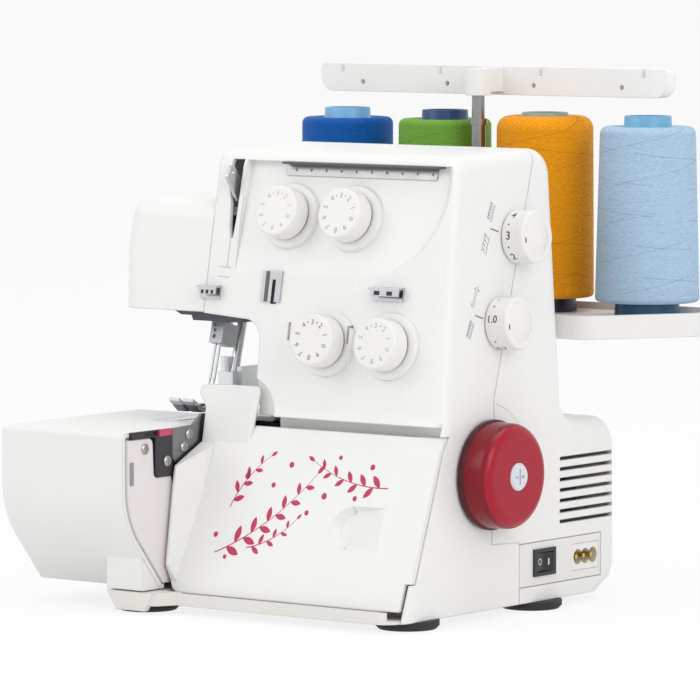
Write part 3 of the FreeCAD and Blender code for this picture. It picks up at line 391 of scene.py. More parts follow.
def printed(name, shapes, finish, body):
    """One mesh from several flat shapes, each given as points in metres and triangles."""
    starts = np.cumsum([0] + [len(points) for points, _ in shapes])
    points = np.concatenate([points for points, _ in shapes])
    corners = np.concatenate([fan + start for (_, fan), start in zip(shapes, starts)])
    mesh = bpy.data.meshes.new(name)
    mesh.from_pydata(points.tolist(), [], corners.tolist())
    placed(name, mesh, finish, body)


def on_face(shape, foot, axis, height, spin, out):
    """Flat shape laid on a dial's face: moved out from the middle, then turned clockwise from the top."""
    points, fan = shape
    axis = np.array(axis, float) / np.linalg.norm(axis)
    right = np.array((1.0, 0.0, 0.0))
    up = np.cross(axis, right)
    turn = math.radians(spin)
    radial = math.sin(turn) * right + math.cos(turn) * up
    across = math.cos(turn) * right - math.sin(turn) * up
    laid = np.array(foot) + axis * height + points[:, :1] * across + (points[:, 1:] + out) * radial
    return laid * MM, fan


DIAL_RADIUS = 15.0
DIAL_BACK = 4.0
DIAL_TOP = 17.0
DIAL_EASE = 1.3
DIAL_GAP = 0.8
KNOB_LIFT = 0.05    # print stands this far off a knob's face or the rocker
bend = np.linspace(0, np.pi / 2, 7)
shoulder = np.stack([np.cos(bend) - 1, np.sin(bend) - 1], axis=1) * DIAL_EASE + (DIAL_RADIUS, DIAL_TOP)
dial_foot = DIAL_BACK + DIAL_GAP
dial_profile = np.concatenate([
    [(2.0, dial_foot), (DIAL_RADIUS - 0.3, dial_foot), (DIAL_RADIUS, dial_foot + 0.3)], shoulder,
    [(DIAL_RADIUS - 2.2, DIAL_TOP), (1.0, DIAL_TOP)]])
shadow_collar_profile = [(2.0, DIAL_BACK), (DIAL_RADIUS - 0.5, DIAL_BACK), (DIAL_RADIUS - 0.5, dial_foot + 0.1),
                  (2.0, dial_foot + 0.1)]
# The collar's dark grey is painted shade: it darkens the gap under each knob as its shadow would.
shadow_collar_grey = moulded("shadow_collar_skin", paint(96, 94, 92), 0.5, 0.1)
dial_white = moulded("dial_skin", paint(239, 238, 235), 0.36, 0.3)
upper_axis = (0.0, -1.0, PANEL_SLOPE + RECESS_SLOPE)
lower_axis = (0.0, -1.0, PANEL_SLOPE)
UPPER_Z = 229.6
LOWER_Z = 158.1
FIGURE_SIZE = 4.3
FIGURE_OUT = 10.2
DOT_OUT = 10.6
FIGURE_STEP = 36
DIALS = {
    # middle of the foot, axis, and tint of the figures
    "left_needle": ((-18.5, recess_y(UPPER_Z), UPPER_Z), upper_axis, paint(214, 196, 162)),
    "right_needle": ((27.8, recess_y(UPPER_Z), UPPER_Z), upper_axis, paint(146, 158, 182)),
    "upper_looper": ((20.2, panel_y(LOWER_Z), LOWER_Z), lower_axis, paint(116, 98, 98)),
    "lower_looper": ((65.7, panel_y(LOWER_Z), LOWER_Z), lower_axis, paint(142, 196, 168)),
}
for name, (foot, axis, tint) in DIALS.items():
    body = "dial_" + name
    knob = surface(body + "_knob", turned(dial_profile, foot, axis), dial_white, body, "dial_white")
    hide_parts("tension_dial_" + name)
    shadow_collar = surface(body + "_shadow_collar", turned(shadow_collar_profile, foot, axis), shadow_collar_grey, body, "dial_white")
    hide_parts("tension_dial_" + name)
    face = DIAL_TOP + KNOB_LIFT
    marks = [on_face(figure(str((3 - i) % 10), FIGURE_SIZE), foot, axis, face, FIGURE_STEP * i, FIGURE_OUT)
             for i in range(10)]
    marks += [on_face(dot(0.46), foot, axis, face, spin * FIGURE_STEP, DOT_OUT) for spin in (-0.5, 0.5)]
    printed(body + "_figures", marks, ink("figures_" + name, tint), body)
dress(metal("post_steel_skin", paint(180, 181, 185), 0.3, (60.0, 600.0, 60.0)), "tension_posts")

# Side dials and their scales.
# Two white knobs on the right side set the stitch length and the differential feed. Each has a
# printed band, a finely ribbed grip and a raised face, and is read against marks on the housing.
SIDE_X = 108.0
SIDE_RISE = 163.0
SIDE_LEAN = 10.5
SIDE_AXIS = (SIDE_RISE, 0.0, SIDE_LEAN)
SIDE_RADIUS = 15.4
SIDE_TOP = 16.3
RIM_DROP = 0.6
GRIP_FOOT = 9.5
GRIP_TOP = 14.6
RIBS = 84
RIB_DIP = 0.014     # share of the radius
BAND_LIFT = 0.04    # print stands this far off a knob's band
BAND_FIGURES = 5.6
BAND_DOTS = 5.0
SHELL_LIFT = 0.06   # print stands this far off the housing and the cover


def side_x(z):
    """Right side's outer face at a height: upright below the knee, leaning in above it."""
    return SIDE_X - np.maximum(0.0, z - KNEE_Z) * SIDE_LEAN / SIDE_RISE


def ribbed_knob(foot):
    """Turned knob whose grip has ribs: the radius dips by a cosine of the ribs' count times the angle
    on the rows between the printed band and the rounded rim."""
    columns = RIBS * 8
    ease = 1.7
    bow = np.linspace(0, np.pi / 2, 6)
    rim = np.stack([np.cos(bow) - 1, np.sin(bow) - 1], axis=1) * ease + (SIDE_RADIUS, SIDE_TOP - RIM_DROP)
    band = [(SIDE_RADIUS, height) for height in (1.2, 9.2, 9.6, 10.0, 13.6)]
    profile = np.concatenate([
        [(3.4, 0.6), (SIDE_RADIUS - 0.6, 0.6)], band, rim,
        [(10.7, SIDE_TOP - RIM_DROP), (10.4, SIDE_TOP - 0.3), (10.0, SIDE_TOP), (1.0, SIDE_TOP)]])
    points = turned(profile, foot, SIDE_AXIS, columns)
    middle = turned(np.stack([profile[:, 0] * 0, profile[:, 1]], axis=1), foot, SIDE_AXIS, columns)
    on_grip = (profile[:, 1] > GRIP_FOOT) & (profile[:, 1] < GRIP_TOP)
    ribbed = on_grip & (profile[:, 0] > SIDE_RADIUS - 1.0)
    angle = np.linspace(0, 2 * np.pi, columns, endpoint=False)
    dip = RIB_DIP * (0.5 - 0.5 * np.cos(RIBS * angle))
    share = np.where(ribbed[:, None], 1 - dip[None], 1.0)
    return middle + (points - middle) * share[..., None]


def finer(shape, parts=6):
    """The same flat shape with each triangle cut into rows of small ones, so that it can bend: the
    new corners lie at whole shares of the old three."""
    points, fan = shape
    steps = [(i, j) for i in range(parts + 1) for j in range(parts + 1 - i)]
    spot = {step: k for k, step in enumerate(steps)}
    shares = np.array([(parts - i - j, i, j) for i, j in steps]) / parts
    small = [(spot[i, j], spot[i + 1, j], spot[i, j + 1]) for i, j in steps if i + j < parts]
    small += [(spot[i + 1, j], spot[i + 1, j + 1], spot[i, j + 1]) for i, j in steps if i + j < parts - 1]
    starts = np.arange(len(fan))[:, None, None] * len(steps)
    return (shares @ points[fan]).reshape(-1, 2), (starts + np.array(small)).reshape(-1, 3)


def on_band(shape, foot, lift, height):
    """Flat shape wrapped round a knob's band: its width runs along the axis and its height round
    the rim, measured up from the side that faces the front."""
    points, fan = finer(shape)
    axis = np.array(SIDE_AXIS) / np.linalg.norm(SIDE_AXIS)
    front = np.array((0.0, -1.0, 0.0))
    up = np.cross(front, axis)
    radius = SIDE_RADIUS + BAND_LIFT
    turn = math.radians(lift) + points[:, 1:] / radius
    spoke = np.cos(turn) * front + np.sin(turn) * up
    return (np.array(foot) + axis * (height + points[:, :1]) + radius * spoke) * MM, fan


def on_knob(shape, foot):
    """Flat shape in Y and Z laid on the ring round a side dial's raised face, which leans with the
    housing."""
    points, fan = shape
    axis = np.array(SIDE_AXIS) / np.linalg.norm(SIDE_AXIS)
    up = np.cross(axis, (0.0, 1.0, 0.0))
    height = SIDE_TOP - RIM_DROP + KNOB_LIFT
    laid = np.array(foot) + axis * height + points[:, :1] * (0.0, 1.0, 0.0) + points[:, 1:] * up
    return laid * MM, fan


figure_ink = ink("figure_grey", paint(66, 66, 70))
SIDE_DIALS = {
    # middle in Y and Z, figures with their places round the band, their size, and dots between
    "stitch_length": ((4.0, 219.0), [("3", 5), ("2", -46), ("4", 57), ("1", -97)], 6.8, (31, -20, -71)),
    "differential": ((-16.5, 170.0), [("1.0", 12), ("2.0", 92), ("0.7", -68)], 6.0, (43, 66, -40)),
}
for name, ((y, z), figures, size, dots) in SIDE_DIALS.items():
    body = "dial_" + name
    foot = (side_x(z), y, z)
    knob = surface(body + "_knob", ribbed_knob(foot), dial_white, body, "dial_white")
    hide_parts(name + "_dial")
    marks = [on_band(figure(text, size, 0.016), foot, lift, BAND_FIGURES) for text, lift in figures]
    marks += [on_band(dot(0.6), foot, lift, BAND_DOTS) for lift in dots]
    marks.append(on_knob(oval((0.6, 1.8), (-12.0, -1.5)), foot))
    printed(body + "_figures", marks, figure_ink, body)


def line(start, end, width):
    """Straight stroke of an even width between two points, as a patch."""
    start = np.array(start, float)
    end = np.array(end, float)
    along = (end - start) / np.linalg.norm(end - start)
    side = np.array((-along[1], along[0])) * width / 2
    return patch([start - side, end - side, end + side, start + side])


def on_side(shape):
    """Flat shape in Y and Z printed on the housing's right side."""
    points, fan = shape
    return np.stack([side_x(points[:, 1]) + SHELL_LIFT, points[:, 0], points[:, 1]], axis=1) * MM, fan


def ladder(foot, top, rungs, width):
    """Stitch sign: two rails from foot to top, with slanting rungs between them."""
    foot = np.array(foot, float)
    top = np.array(top, float)
    along = (top - foot) / np.linalg.norm(top - foot)
    side = np.array((-along[1], along[0])) * width / 2
    step = (top - foot) / rungs
    strokes = [line(foot + side, top + side, 0.35), line(foot - side, top - side, 0.35)]
    for i in range(rungs):
        strokes.append(line(foot + step * i - side, foot + step * (i + 1) + side, 0.4))
        strokes.append(line(foot + step * (i + 0.5) + side * 0.2, foot + step * (i + 0.5) + side, 0.4))
    return strokes


LADDERS = [
    # foot and top in Y and Z, rungs, and width
    ((-21.5, 230.0), (-16.7, 239.6), 6, 4.4),
    ((-28.6, 211.6), (-24.0, 221.8), 4, 4.8),
    ((-48.0, 163.8), (-43.0, 172.8), 7, 4.0),
]
ARROW = [(-42.6, 181.0), (-40.6, 182.0), (-36.6, 190.4), (-34.4, 189.6), (-36.6, 192.2), (-39.4, 191.4),
         (-38.0, 190.8), (-42.0, 182.6), (-43.2, 183.2)]
signs = [stroke for sizes in LADDERS for stroke in ladder(*sizes)]
signs += [line(a, b, 0.35) for a, b in zip(ARROW, ARROW[1:] + ARROW[:1])]
printed("side_signs", [on_side(sign) for sign in signs], ink("sign_grey", paint(146, 146, 152)),
        "machine")
POINTERS = [((-20.6, 225.2), (-12.6, 223.0)), ((-40.1, 176.2), (-32.4, 174.0))]
pointers = [line(start, end, 0.8) for start, end in POINTERS]
printed("side_pointers", [on_side(mark) for mark in pointers], ink("pointer_grey", paint(120, 119, 120)),
        "machine")

# Thin grey arc on the housing round the upper back of the handwheel, in Y and Z: painted shade along the
# edge of a shallow recess round the wheel.
WHEEL_MIDDLE = (-33.0, 84.0)
WHEEL_EDGE = 41.0
spin = np.radians(np.linspace(36, 78, 15))
rim_path = np.array(WHEEL_MIDDLE) + WHEEL_EDGE * np.stack([np.cos(spin), np.sin(spin)], axis=1)
recess_shade_marks = [line(a, b, 0.4) for a, b in zip(rim_path[:-1], rim_path[1:])]
printed("wheel_recess_shade", [on_side(mark) for mark in recess_shade_marks], ink("recess_shade_grey", paint(206, 205, 204)),
        "machine")

# Looper cover with its printed sprigs.
# A white gloss moulding on a sliding hinge, with a thumb scoop, a cheek at its left end and a guard
# in front of the knives. Leaf sprigs with berries are printed on it in raspberry red.
COVER_FOOT_Y = -116.0
COVER_FOOT_Z = 13.0
COVER_LEAN = 0.371
dress(moulded("cover_skin", paint(239, 239, 237), 0.35, 1.4), "looper_cover")
dress(ground_steel, "cover_hinge_rod")


def on_cover(shape):
    """Flat shape in X and Z printed on the leaning front of the looper cover."""
    points, fan = shape
    y = COVER_FOOT_Y + (points[:, 1] - COVER_FOOT_Z) * COVER_LEAN - SHELL_LIFT
    return np.stack([points[:, 0], y, points[:, 1]], axis=1) * MM, fan


def leaf(foot, way, length, width):
    """Almond leaf: two bows, each a filled-out sine of the way along, that meet in points at the foot
    and at the tip."""
    share = np.linspace(0, 1, 9)
    bow = np.sin(np.pi * share) ** 0.85 * width / 2
    lower = np.stack([share * length, -bow], axis=1)
    upper = np.stack([share * length, bow], axis=1)[-2:0:-1]
    turn = math.radians(way)
    spin = np.array([[math.cos(turn), math.sin(turn)], [-math.sin(turn), math.cos(turn)]])
    return patch(np.concatenate([lower, upper]) @ spin + np.array(foot))


def stem(path, width):
    """Thin ribbon along a path, tapering to its tip."""
    path = np.array(path, float)
    along = np.gradient(path, axis=0)
    along = along / np.linalg.norm(along, axis=1, keepdims=True)
    thin = np.linspace(1.0, 0.35, len(path))[:, None] * width / 2
    side = np.stack([-along[:, 1], along[:, 0]], axis=1) * thin
    points = np.concatenate([path - side, path + side])
    count = len(path)
    here = np.arange(count - 1)
    ahead = np.stack([here, here + 1, here + 1 + count], axis=1)
    behind = np.stack([here, here + 1 + count, here + count], axis=1)
    return points, np.concatenate([ahead, behind])


def sprig(start, end, sag, leaves, size):
    """Sprig: a straight stem bowed aside by a parabola, with leaves in turn on each side, smaller to
    the tip, and one leaf at the tip."""
    start = np.array(start, float)
    end = np.array(end, float)
    run = end - start
    side = np.array((-run[1], run[0])) / np.linalg.norm(run)
    share = np.linspace(0, 1, 40)[:, None]
    path = start + run * share + side * sag * 4 * share * (1 - share)
    shapes = [stem(path, 0.7)]
    for i in range(leaves):
        at = int(4 + i * 33 / leaves)
        lead = path[at + 1] - path[at]
        way = math.degrees(math.atan2(lead[1], lead[0]))
        hand = 1 if i % 2 else -1
        grown = size * (1 - 0.4 * i / leaves)
        shapes.append(leaf(path[at], way + hand * 48, grown, grown * 0.42))
    lead = path[-1] - path[-2]
    shapes.append(leaf(path[-1], math.degrees(math.atan2(lead[1], lead[0])), size * 0.6, size * 0.26))
    return shapes


SPRIGS = [
    # start and end in X and Z, sag of the stem, leaves, and length of the first leaf
    ((-34.0, 36.0), (28.0, 84.0), -5.0, 11, 10.5),
    ((80.0, 79.0), (24.0, 91.0), 4.0, 9, 9.0),
    ((-30.0, 62.0), (-8.0, 92.0), 3.0, 6, 8.0),
    ((-12.0, 40.0), (20.0, 58.0), -3.0, 6, 7.0),
]
BERRIES = [(-36.0, 46.0, 1.6), (-22.0, 80.0, 1.9), (-2.0, 76.0, 1.5), (8.0, 88.0, 1.7), (36.0, 72.0, 1.9),
           (42.0, 94.0, 1.3), (58.0, 72.0, 1.5), (66.0, 90.0, 1.7), (-26.0, 34.0, 1.3), (26.0, 62.0, 1.5)]
art = [shape for sizes in SPRIGS for shape in sprig(*sizes)]
art += [dot(radius, (x, z)) for x, z, radius in BERRIES]
sprig_ink = ink("sprig_ink", paint(196, 38, 84))
printed("cover_sprigs", [on_cover(shape) for shape in art], sprig_ink, "cover")

# Thread guides on the front.
# Folded strips of bright plated steel, screwed or clipped to the panel, with dark slots that the
# threads run through.
dress(chrome, "front_thread_guides")
strip_skin = metal("strip_plate", paint(204, 204, 208), 0.34, (60.0, 400.0, 400.0))
# The strip's top edge is painted dark grey as painted shade along the edge; below it the plate is pale.
STRIP_EDGE_Z = 260.1
shaded_strip_edge = strip_skin.along("Z") > STRIP_EDGE_Z * MM
strip_skin.feed({"Base Color": strip_skin.blend(shaded_strip_edge, paint(170, 170, 168), paint(104, 104, 108))})
dress(strip_skin, "top_guide_strip")


def on_panel(shape, out):
    """Flat shape in X and Z held a little in front of the leaning front panel."""
    points, fan = shape
    return np.stack([points[:, 0], panel_y(points[:, 1]) - out, points[:, 1]], axis=1) * MM, fan


def oblong(x, z):
    """Upright rectangle between two ends in X and in Z."""
    return patch([(x[0], z[0]), (x[1], z[0]), (x[1], z[1]), (x[0], z[1])])


# The black patches on the guides' lips and behind the middle guide's slot are painted shade: they stand for
# the dark inside of the slots.
slot_shade = ink("slot_shade_black", paint(24, 23, 26))
LIP_OUT = 6.08      # marks on the guides' lips lie this far in front of the panel
PLATE_OUT = 1.28    # and the mark on the middle guide's plate this far
RIGHT_GUIDE = (187.6, 190.0)
RIGHT_SLOTS = ((53.5, 57.5), (62.5, 66.5))
LEFT_GUIDE = (183.4, 185.6)
LEFT_SLOTS = ((-73.2, -71.2), (-69.6, -67.6), (-65.8, -64.0))
MIDDLE_SLOT = ((-25.4, -21.2), (178.8, 193.6))
MIDDLE_FOLD = ((-29.6, -26.8), (180.2, 197.8))
PANEL_SEAM = [
    # start and end in X and Z, and width
    ((-60.0, 217.5), (-60.2, 199.0), 0.45),
    ((-66.0, 199.0), (-57.0, 198.4), 0.4),
    ((-66.0, 193.4), (-57.6, 192.8), 0.35),
]
slots = [on_panel(oblong(x, RIGHT_GUIDE), LIP_OUT) for x in RIGHT_SLOTS]
slots += [on_panel(oblong(x, LEFT_GUIDE), LIP_OUT) for x in LEFT_SLOTS]
slots.append(on_panel(oblong(*MIDDLE_SLOT), SHELL_LIFT))
printed("guide_slots", slots, slot_shade, "machine")
# The grey band on the middle guide's plate is painted shade where the plate is bent.
fold_shade = [on_panel(oblong(*MIDDLE_FOLD), PLATE_OUT)]
printed("guide_fold_shade", fold_shade, ink("fold_shade_grey", paint(96, 96, 99)), "machine")
seam = [on_panel(line(*sizes), SHELL_LIFT) for sizes in PANEL_SEAM]
printed("slot_seam", seam, ink("seam_grey", paint(186, 182, 180)), "machine")

# Switch, inlet and their panel.
# A white panel let into the right side holds a black rocker switch, marked with a ring and a bar,
# and a white three-pin inlet with brass pins.
BORE_X = 107.4
ROCKER_PIVOT = (104.0, 24.0, 28.0)
ROCKER_TILT = -8
ROCKER_FRONT = (5.6, -7.4)
ROCKER_WAIST = (3.8, 0.0)
ROCKER_BACK = (5.6, 7.4)
inlet_white = paint(236, 235, 232)
dress(moulded("panel_skin", inlet_white, 0.34, 0.5), "switch_panel")
inlet_skin = moulded("inlet_skin", inlet_white, 0.36, 0.1)
# Inside the bores the white turns a darker beige: painted shade in the recess.
shaded_bores = inlet_skin.along("X") < BORE_X * MM
inlet_skin.feed({"Base Color": inlet_skin.blend(shaded_bores, inlet_white, paint(222, 214, 192))})
dress(inlet_skin, "inlet_socket")
dress(moulded("switch_skin", paint(28, 28, 31), 0.34, 0.4), "switch_body", "power_rocker")
dress(metal("pin_skin", paint(214, 182, 112), 0.24, (600.0, 60.0, 60.0)), "inlet_pins")


def on_rocker(shape, start, end):
    """Flat shape in the middle of one leaning face of the rocker, between two corners from its pivot."""
    points, fan = shape
    turn = math.radians(ROCKER_TILT)
    spin = np.array([[math.cos(turn), -math.sin(turn)], [math.sin(turn), math.cos(turn)]])
    start = spin @ np.array(start)
    end = spin @ np.array(end)
    along = (end - start) / np.linalg.norm(end - start)
    out = np.array((along[1], -along[0]))
    plan = start + (end - start) * 0.5 + points[:, :1] * along + out * KNOB_LIFT
    return (np.array(ROCKER_PIVOT) + np.concatenate([plan, points[:, 1:]], axis=1)) * MM, fan


marks = [on_rocker(figure("O", 5.4), ROCKER_FRONT, ROCKER_WAIST)]
marks.append(on_rocker(oblong((-0.45, 0.45), (-1.9, 1.9)), ROCKER_WAIST, ROCKER_BACK))
printed("rocker_marks", marks, ink("mark_white", paint(232, 232, 230)), "rocker")

# Handwheel and its cap.
# A crimson gloss moulding on the end of the main shaft, held by a pale cap with a cross slot. The rim is
# painted a deeper crimson than the face as painted shade, and the flange beside the housing a dark maroon as
# painted shadow.
FLANGE_X = 113.1
FACE_X = 126.5
wheel_skin = moulded("wheel_crimson", paint(168, 12, 40), 0.22, 0.8)
reach = wheel_skin.along("X")
swirl = wheel_skin.cloud(wheel_skin.place(), 22.0)
face_red = wheel_skin.blend(swirl, paint(158, 8, 34), paint(172, 16, 44))
# The rim's deeper crimson is painted shade.
shaded_rim_red = wheel_skin.blend(swirl, paint(122, 2, 22), paint(134, 6, 28))
face_and_shaded_rim = wheel_skin.blend(reach > FACE_X * MM, shaded_rim_red, face_red)
# The flange's dark maroon is painted shadow from the gap behind the wheel.
red = wheel_skin.blend(reach < FLANGE_X * MM, face_and_shaded_rim, paint(76, 8, 26))
wheel_skin.feed({"Base Color": red, "Specular IOR Level": 0.32})
dress(wheel_skin, "handwheel")
dress(moulded("cap_pale", paint(220, 222, 228), 0.35, 0.4), "handwheel_cap")

# Spool tray, pins, pole and thread guide bar.
# A white moulded tray stands on a folded bracket behind the column. Four pins hold the cones, and a
# telescopic steel pole lifts a moulded bar with an eye for each thread.
dress(zinc_plate, "tray_bracket")
dress(moulded("tray_skin", paint(238, 237, 235), 0.36, 1.0), "spool_tray", "spool_pins")
dress(moulded("guide_bar_skin", paint(246, 245, 243), 0.36, 0.8), "thread_guide_bar")
pole_steel = metal("pole_steel", paint(152, 150, 150), 0.22, (40.0, 40.0, 600.0))
dress(pole_steel, "pole_outer_tube", "pole_inner_rod")

# Thread cones.
# Each cone is polyester thread cross-wound on a tapered moulded tube. The windings lie in two
# crossing helices, so the wall shows fine slanting ridges.
CONE_Y = 122.0
CONE_FOOT = 175.5
TUBE_FOOT = 167.1
TUBE_WIDE = 19.5
TUBE_SLIM = 13.8
TUBE_WALL = 2.4
TUBE_SPLIT_Z = 240.0
CONE_PITCH = 74.7
STAND_X = 2.0
COLUMNS = 288
STARTS = 9
TURNS = 31
RIDGE = 0.03
WALL_RADIUS = 29.0
LINES_UP = 110.0
LINES_ROUND = 44.0


def winding(below, above, top, ease, x):
    """Wound thread over angle and over the way along a profile: out over a round lower shoulder, up
    the wall, and in over the upper shoulder. Two crossing helices lift the wall in low ridges."""
    foot_ease = 2.6
    bow = np.linspace(-np.pi / 2, 0, 10)
    low_turn = np.stack([np.cos(bow), np.sin(bow)], axis=1)
    high_turn = np.stack([-np.sin(bow), np.cos(bow)], axis=1)
    low_side = (low_turn + (-1, 1)) * foot_ease + (below, CONE_FOOT)
    high_side = (high_turn - 1) * ease + (above, top)
    share = np.linspace(0, 1, 170)[1:-1, None]
    wall = low_side[-1] + (high_side[0] - low_side[-1]) * share
    inner = np.array([(TUBE_WIDE - 0.2, CONE_FOOT + 0.8), (TUBE_SLIM + 0.4, top - 0.8)])
    profile = np.concatenate([inner[:1], low_side, wall, high_side, inner[1:]])
    points = turned(profile, (x, CONE_Y, 0.0), (0, 0, 1), COLUMNS)
    angle = STARTS * np.linspace(0, 2 * np.pi, COLUMNS, endpoint=False)[None]
    way = ((profile[:, 1] - CONE_FOOT) / (top - CONE_FOOT))[:, None]
    climb = 2 * np.pi * TURNS * way
    ridge = np.cos(angle + climb) + np.cos(angle - climb)
    on_wall = np.clip((way - 0.02) * 30, 0, 1) * np.clip((0.96 - way) * 20, 0, 1)
    lift = 1 + on_wall * ridge * RIDGE / WALL_RADIUS
    middle = np.array((x, CONE_Y, 0.0)) * MM
    flat = (points - middle) * np.stack([lift, lift, np.ones_like(lift)], axis=-1)
    return flat + middle


def around_uv(piece, rows, columns):
    """UV map of a turned grid: once round in U, and along the profile in V."""
    row, column = np.meshgrid(np.arange(rows - 1), np.arange(columns), indexing="ij")
    u = np.stack([column, column + 1, column + 1, column], axis=-1) / columns
    v = np.stack([row, row, row + 1, row + 1], axis=-1) / (rows - 1)
    sides = np.stack([u, v], axis=-1).reshape(-1, 2)
    layer = piece.data.uv_layers.new(name="round")
    whole = np.zeros((len(piece.data.loops), 2))
    whole[:len(sides)] = sides
    layer.data.foreach_set("uv", whole.ravel())


def thread_skin(name, colour):
    """Wound thread: two crossing families of fine lines, each seen where it lies on top, over slow
    streaks along the winding and a fleck of single turns. A few loose turns lie on the outside as
    thin broken lines."""
    finish = Finish(name)
    uv = finish.place("UV")
    u = finish.node("ShaderNodeSeparateXYZ", {}, {"Vector": uv}, "X")
    v = finish.node("ShaderNodeSeparateXYZ", {}, {"Vector": uv}, "Y")
    turn = 2 * math.pi
    rising = (v * (turn * LINES_UP) + u * (turn * LINES_ROUND)).wave()
    falling = (v * (turn * LINES_UP) - u * (turn * LINES_ROUND)).wave()
    spread = finish.node("ShaderNodeMapping", {}, {"Vector": uv, "Scale": (5.0, 40.0, 1.0)})
    streak = finish.cloud(spread, 1.0, 4.0)
    close = finish.node("ShaderNodeMapping", {}, {"Vector": uv, "Scale": (60.0, 190.0, 1.0)})
    fleck = finish.cloud(close, 1.0, 2.0)
    above = streak > 0.5
    lines = rising * above + falling * (1 - above)
    tone = lines * 0.16 + streak * 0.5 + fleck * 1.3 - 0.3
    strays = finish.cloud(uv, 4.0) * 0.2
    broken = finish.cloud(uv, 6.0) > 0.47
    loose = (v * 6.0 + u + strays).share() < 0.02
    crossing = (v * 5.0 - u - u + strays).share() < 0.017
    outside = (loose + crossing) * broken * 0.42
    wound = finish.blend(tone, shade(colour, 0.74), colour)
    finish.feed({
        "Base Color": finish.blend(outside, wound, shade(colour, 0.28)),
        "Roughness": streak * 0.2 + 0.55,
        "Sheen Weight": 0.06,
        "Specular IOR Level": 0.18,
        "Normal": finish.relief(lines * 0.5 + fleck, 0.0003, 0.7, 0.2 * MM),
    })
    return finish


CONES = {
    # radius below and above, top of the thread, its shoulder and top of the tube, then the colours of
    # the thread, the tube's foot and the tube's tip
    "blue": (28.6, 28.2, 281.0, 4.0, 287.0, paint(0, 94, 182), paint(84, 156, 210), paint(122, 182, 220)),
    "green": (28.8, 28.4, 281.5, 4.0, 287.0, paint(122, 178, 66), paint(24, 56, 104), paint(16, 64, 118)),
    "orange": (29.8, 29.2, 285.0, 8.0, 287.0, paint(255, 166, 6), paint(34, 46, 68), paint(150, 164, 150)),
    "pale_blue": (31.2, 28.6, 280.2, 4.6, 286.5, paint(184, 214, 240), paint(30, 92, 124),
                  paint(112, 174, 210)),
}
for i, (name, (below, above, top, ease, tip, colour, tube_foot, tube_tip)) in enumerate(CONES.items()):
    x = STAND_X + (i - 1.5) * CONE_PITCH
    body = "cone_" + name
    points = winding(below, above, top, ease, x)
    wound = surface(body + "_thread", points, thread_skin("thread_" + name + "_skin", colour), body,
                    "thread_" + name, capped=False, crease=70)
    around_uv(wound, *points.shape[:2])
    tube_profile = [(TUBE_WIDE - 2.0, TUBE_FOOT), (TUBE_WIDE - 0.3, TUBE_FOOT), (TUBE_WIDE, TUBE_FOOT + 0.4),
                    (TUBE_SLIM + 0.3, tip - 0.6), (TUBE_SLIM, tip - 0.1), (TUBE_SLIM - 0.4, tip),
                    (TUBE_SLIM - 1.8, tip), (TUBE_SLIM - 2.3, tip - 0.3), (TUBE_SLIM - TUBE_WALL, tip - 1.0),
                    (TUBE_WIDE - TUBE_WALL, TUBE_FOOT + 0.5), (TUBE_WIDE - 2.0, TUBE_FOOT)]
    tube_skin = moulded("tube_" + name, tube_foot, 0.35, 0.3)
    upper = tube_skin.along("Z") > TUBE_SPLIT_Z * MM
    tube_skin.feed({"Base Color": tube_skin.blend(upper, tube_foot, tube_tip)})
    core = surface(body + "_tube", turned(tube_profile, (x, CONE_Y, 0.0), (0, 0, 1), 96), tube_skin, body,
                   "thread_" + name, capped=False)
    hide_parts("thread_cone_" + name)
    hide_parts("thread_cone_" + name)

# Screws that show on the outside.
# Cross-head machine screws, bright plated, one pattern throughout.
dress(metal("screw_steel", paint(186, 184, 178), 0.26, (300.0, 300.0, 300.0), 0.12), "panel_screws")

# Floor, light and camera.
# A white floor that keeps the shadow, broad soft lamps from the front left, the right and above, and
# the camera at the height and angle from which the machine was seen.
FLOOR_HALF = 60.0
FLOOR_Z = -0.0002
FLOOR_GLOW = 0.84
STUDIO_LIGHT = 0.72
AIM = (0.0, 0.0, 0.15)
EYE_SPOT = (1.9088, -2.5547, 0.405)
EYE_TURN = 37.0
EYE_DIP = 4.595
FOCAL_LENGTH = 277.7
SENSOR_WIDTH = 36.0


def eye(finish):
    """One for rays from the camera, or from it by way of gloss or glass, and nought for the rest."""
    rays = [finish.node("ShaderNodeLightPath", {}, {}, ray) for ray in
            ("Is Camera Ray", "Is Glossy Ray", "Is Transmission Ray")]
    seen = rays[0] + rays[1] + rays[2]
    return seen.maths("MINIMUM", seen, 1.0)


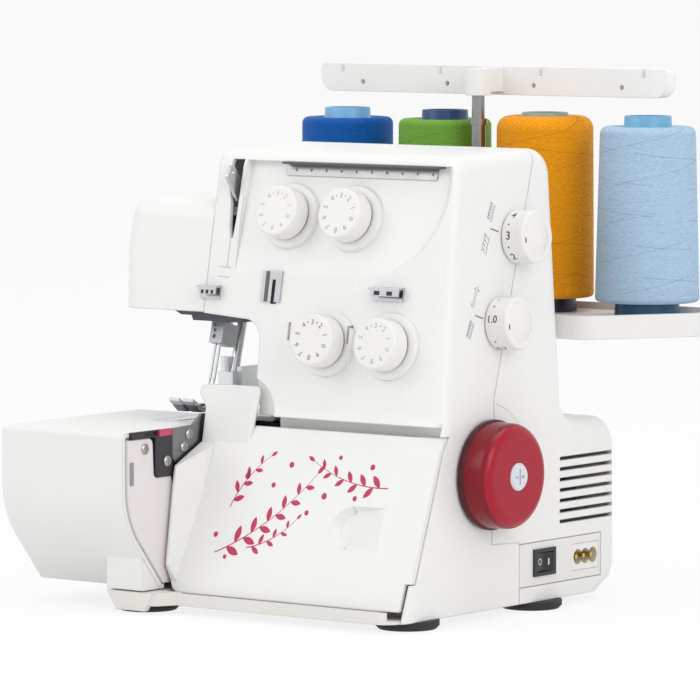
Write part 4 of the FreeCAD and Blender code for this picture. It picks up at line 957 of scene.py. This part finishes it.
floor_skin = Finish("floor_white")
floor_skin.feed({"Base Color": (0.9, 0.9, 0.9, 1.0), "Roughness": 0.9})
glow = floor_skin.node("ShaderNodeEmission", {}, {"Color": (1.0, 1.0, 1.0, 1.0), "Strength": 1.0})
lit = Socket(floor_skin, floor_skin.shader.outputs[0])
mixed = floor_skin.node("ShaderNodeMixShader", {}, {0: eye(floor_skin) * FLOOR_GLOW, 1: lit, 2: glow})
floor_skin.tree.links.new(mixed.output, floor_skin.tree.nodes["Material Output"].inputs["Surface"])
floor_mesh = bpy.data.meshes.new("floor")
corners = [(FLOOR_HALF * x, FLOOR_HALF * y, FLOOR_Z) for x, y in ((-1, -1), (1, -1), (1, 1), (-1, 1))]
floor_mesh.from_pydata(corners, [], [(0, 1, 2, 3)])
floor_mesh.materials.append(floor_skin.material)
floor = bpy.data.objects.new("floor", floor_mesh)
bpy.context.scene.collection.objects.link(floor)


def soft_lamp(name, spot, size, power):
    """Square area lamp that faces the middle of the machine."""
    data = bpy.data.lights.new(name, "AREA")
    data.size = size
    data.energy = power
    lamp = bpy.data.objects.new(name, data)
    way = np.array(AIM) - np.array(spot)
    yaw = math.atan2(way[1], way[0]) - math.pi / 2
    pitch = math.atan2(way[2], math.hypot(way[0], way[1])) + math.pi / 2
    lamp.location = spot
    lamp.rotation_euler = (pitch, 0.0, yaw)
    bpy.context.scene.collection.objects.link(lamp)


soft_lamp("front_left_lamp", (-1.3, -2.0, 1.7), 1.6, 13.0)
soft_lamp("right_lamp", (2.4, -0.9, 1.3), 1.4, 15.0)
soft_lamp("top_lamp", (0.2, 0.3, 2.2), 1.5, 11.0)

studio = Finish("studio", bpy.data.worlds.new("studio"))
bpy.context.scene.world = studio.material
studio.feed({"Color": (1.0, 1.0, 1.0, 1.0), "Strength": eye(studio) * (1.0 - STUDIO_LIGHT) + STUDIO_LIGHT})

bpy.context.scene.view_settings.view_transform = "Standard"
lens = bpy.data.cameras.new("camera")
lens.lens = FOCAL_LENGTH
lens.sensor_width = SENSOR_WIDTH
lens.clip_end = 200.0
camera = bpy.data.objects.new("camera", lens)
camera.location = EYE_SPOT
camera.rotation_euler = (math.radians(90 - EYE_DIP), 0.0, math.radians(EYE_TURN))
bpy.context.scene.collection.objects.link(camera)
bpy.context.scene.camera = camera

bpy.context.view_layer.update()
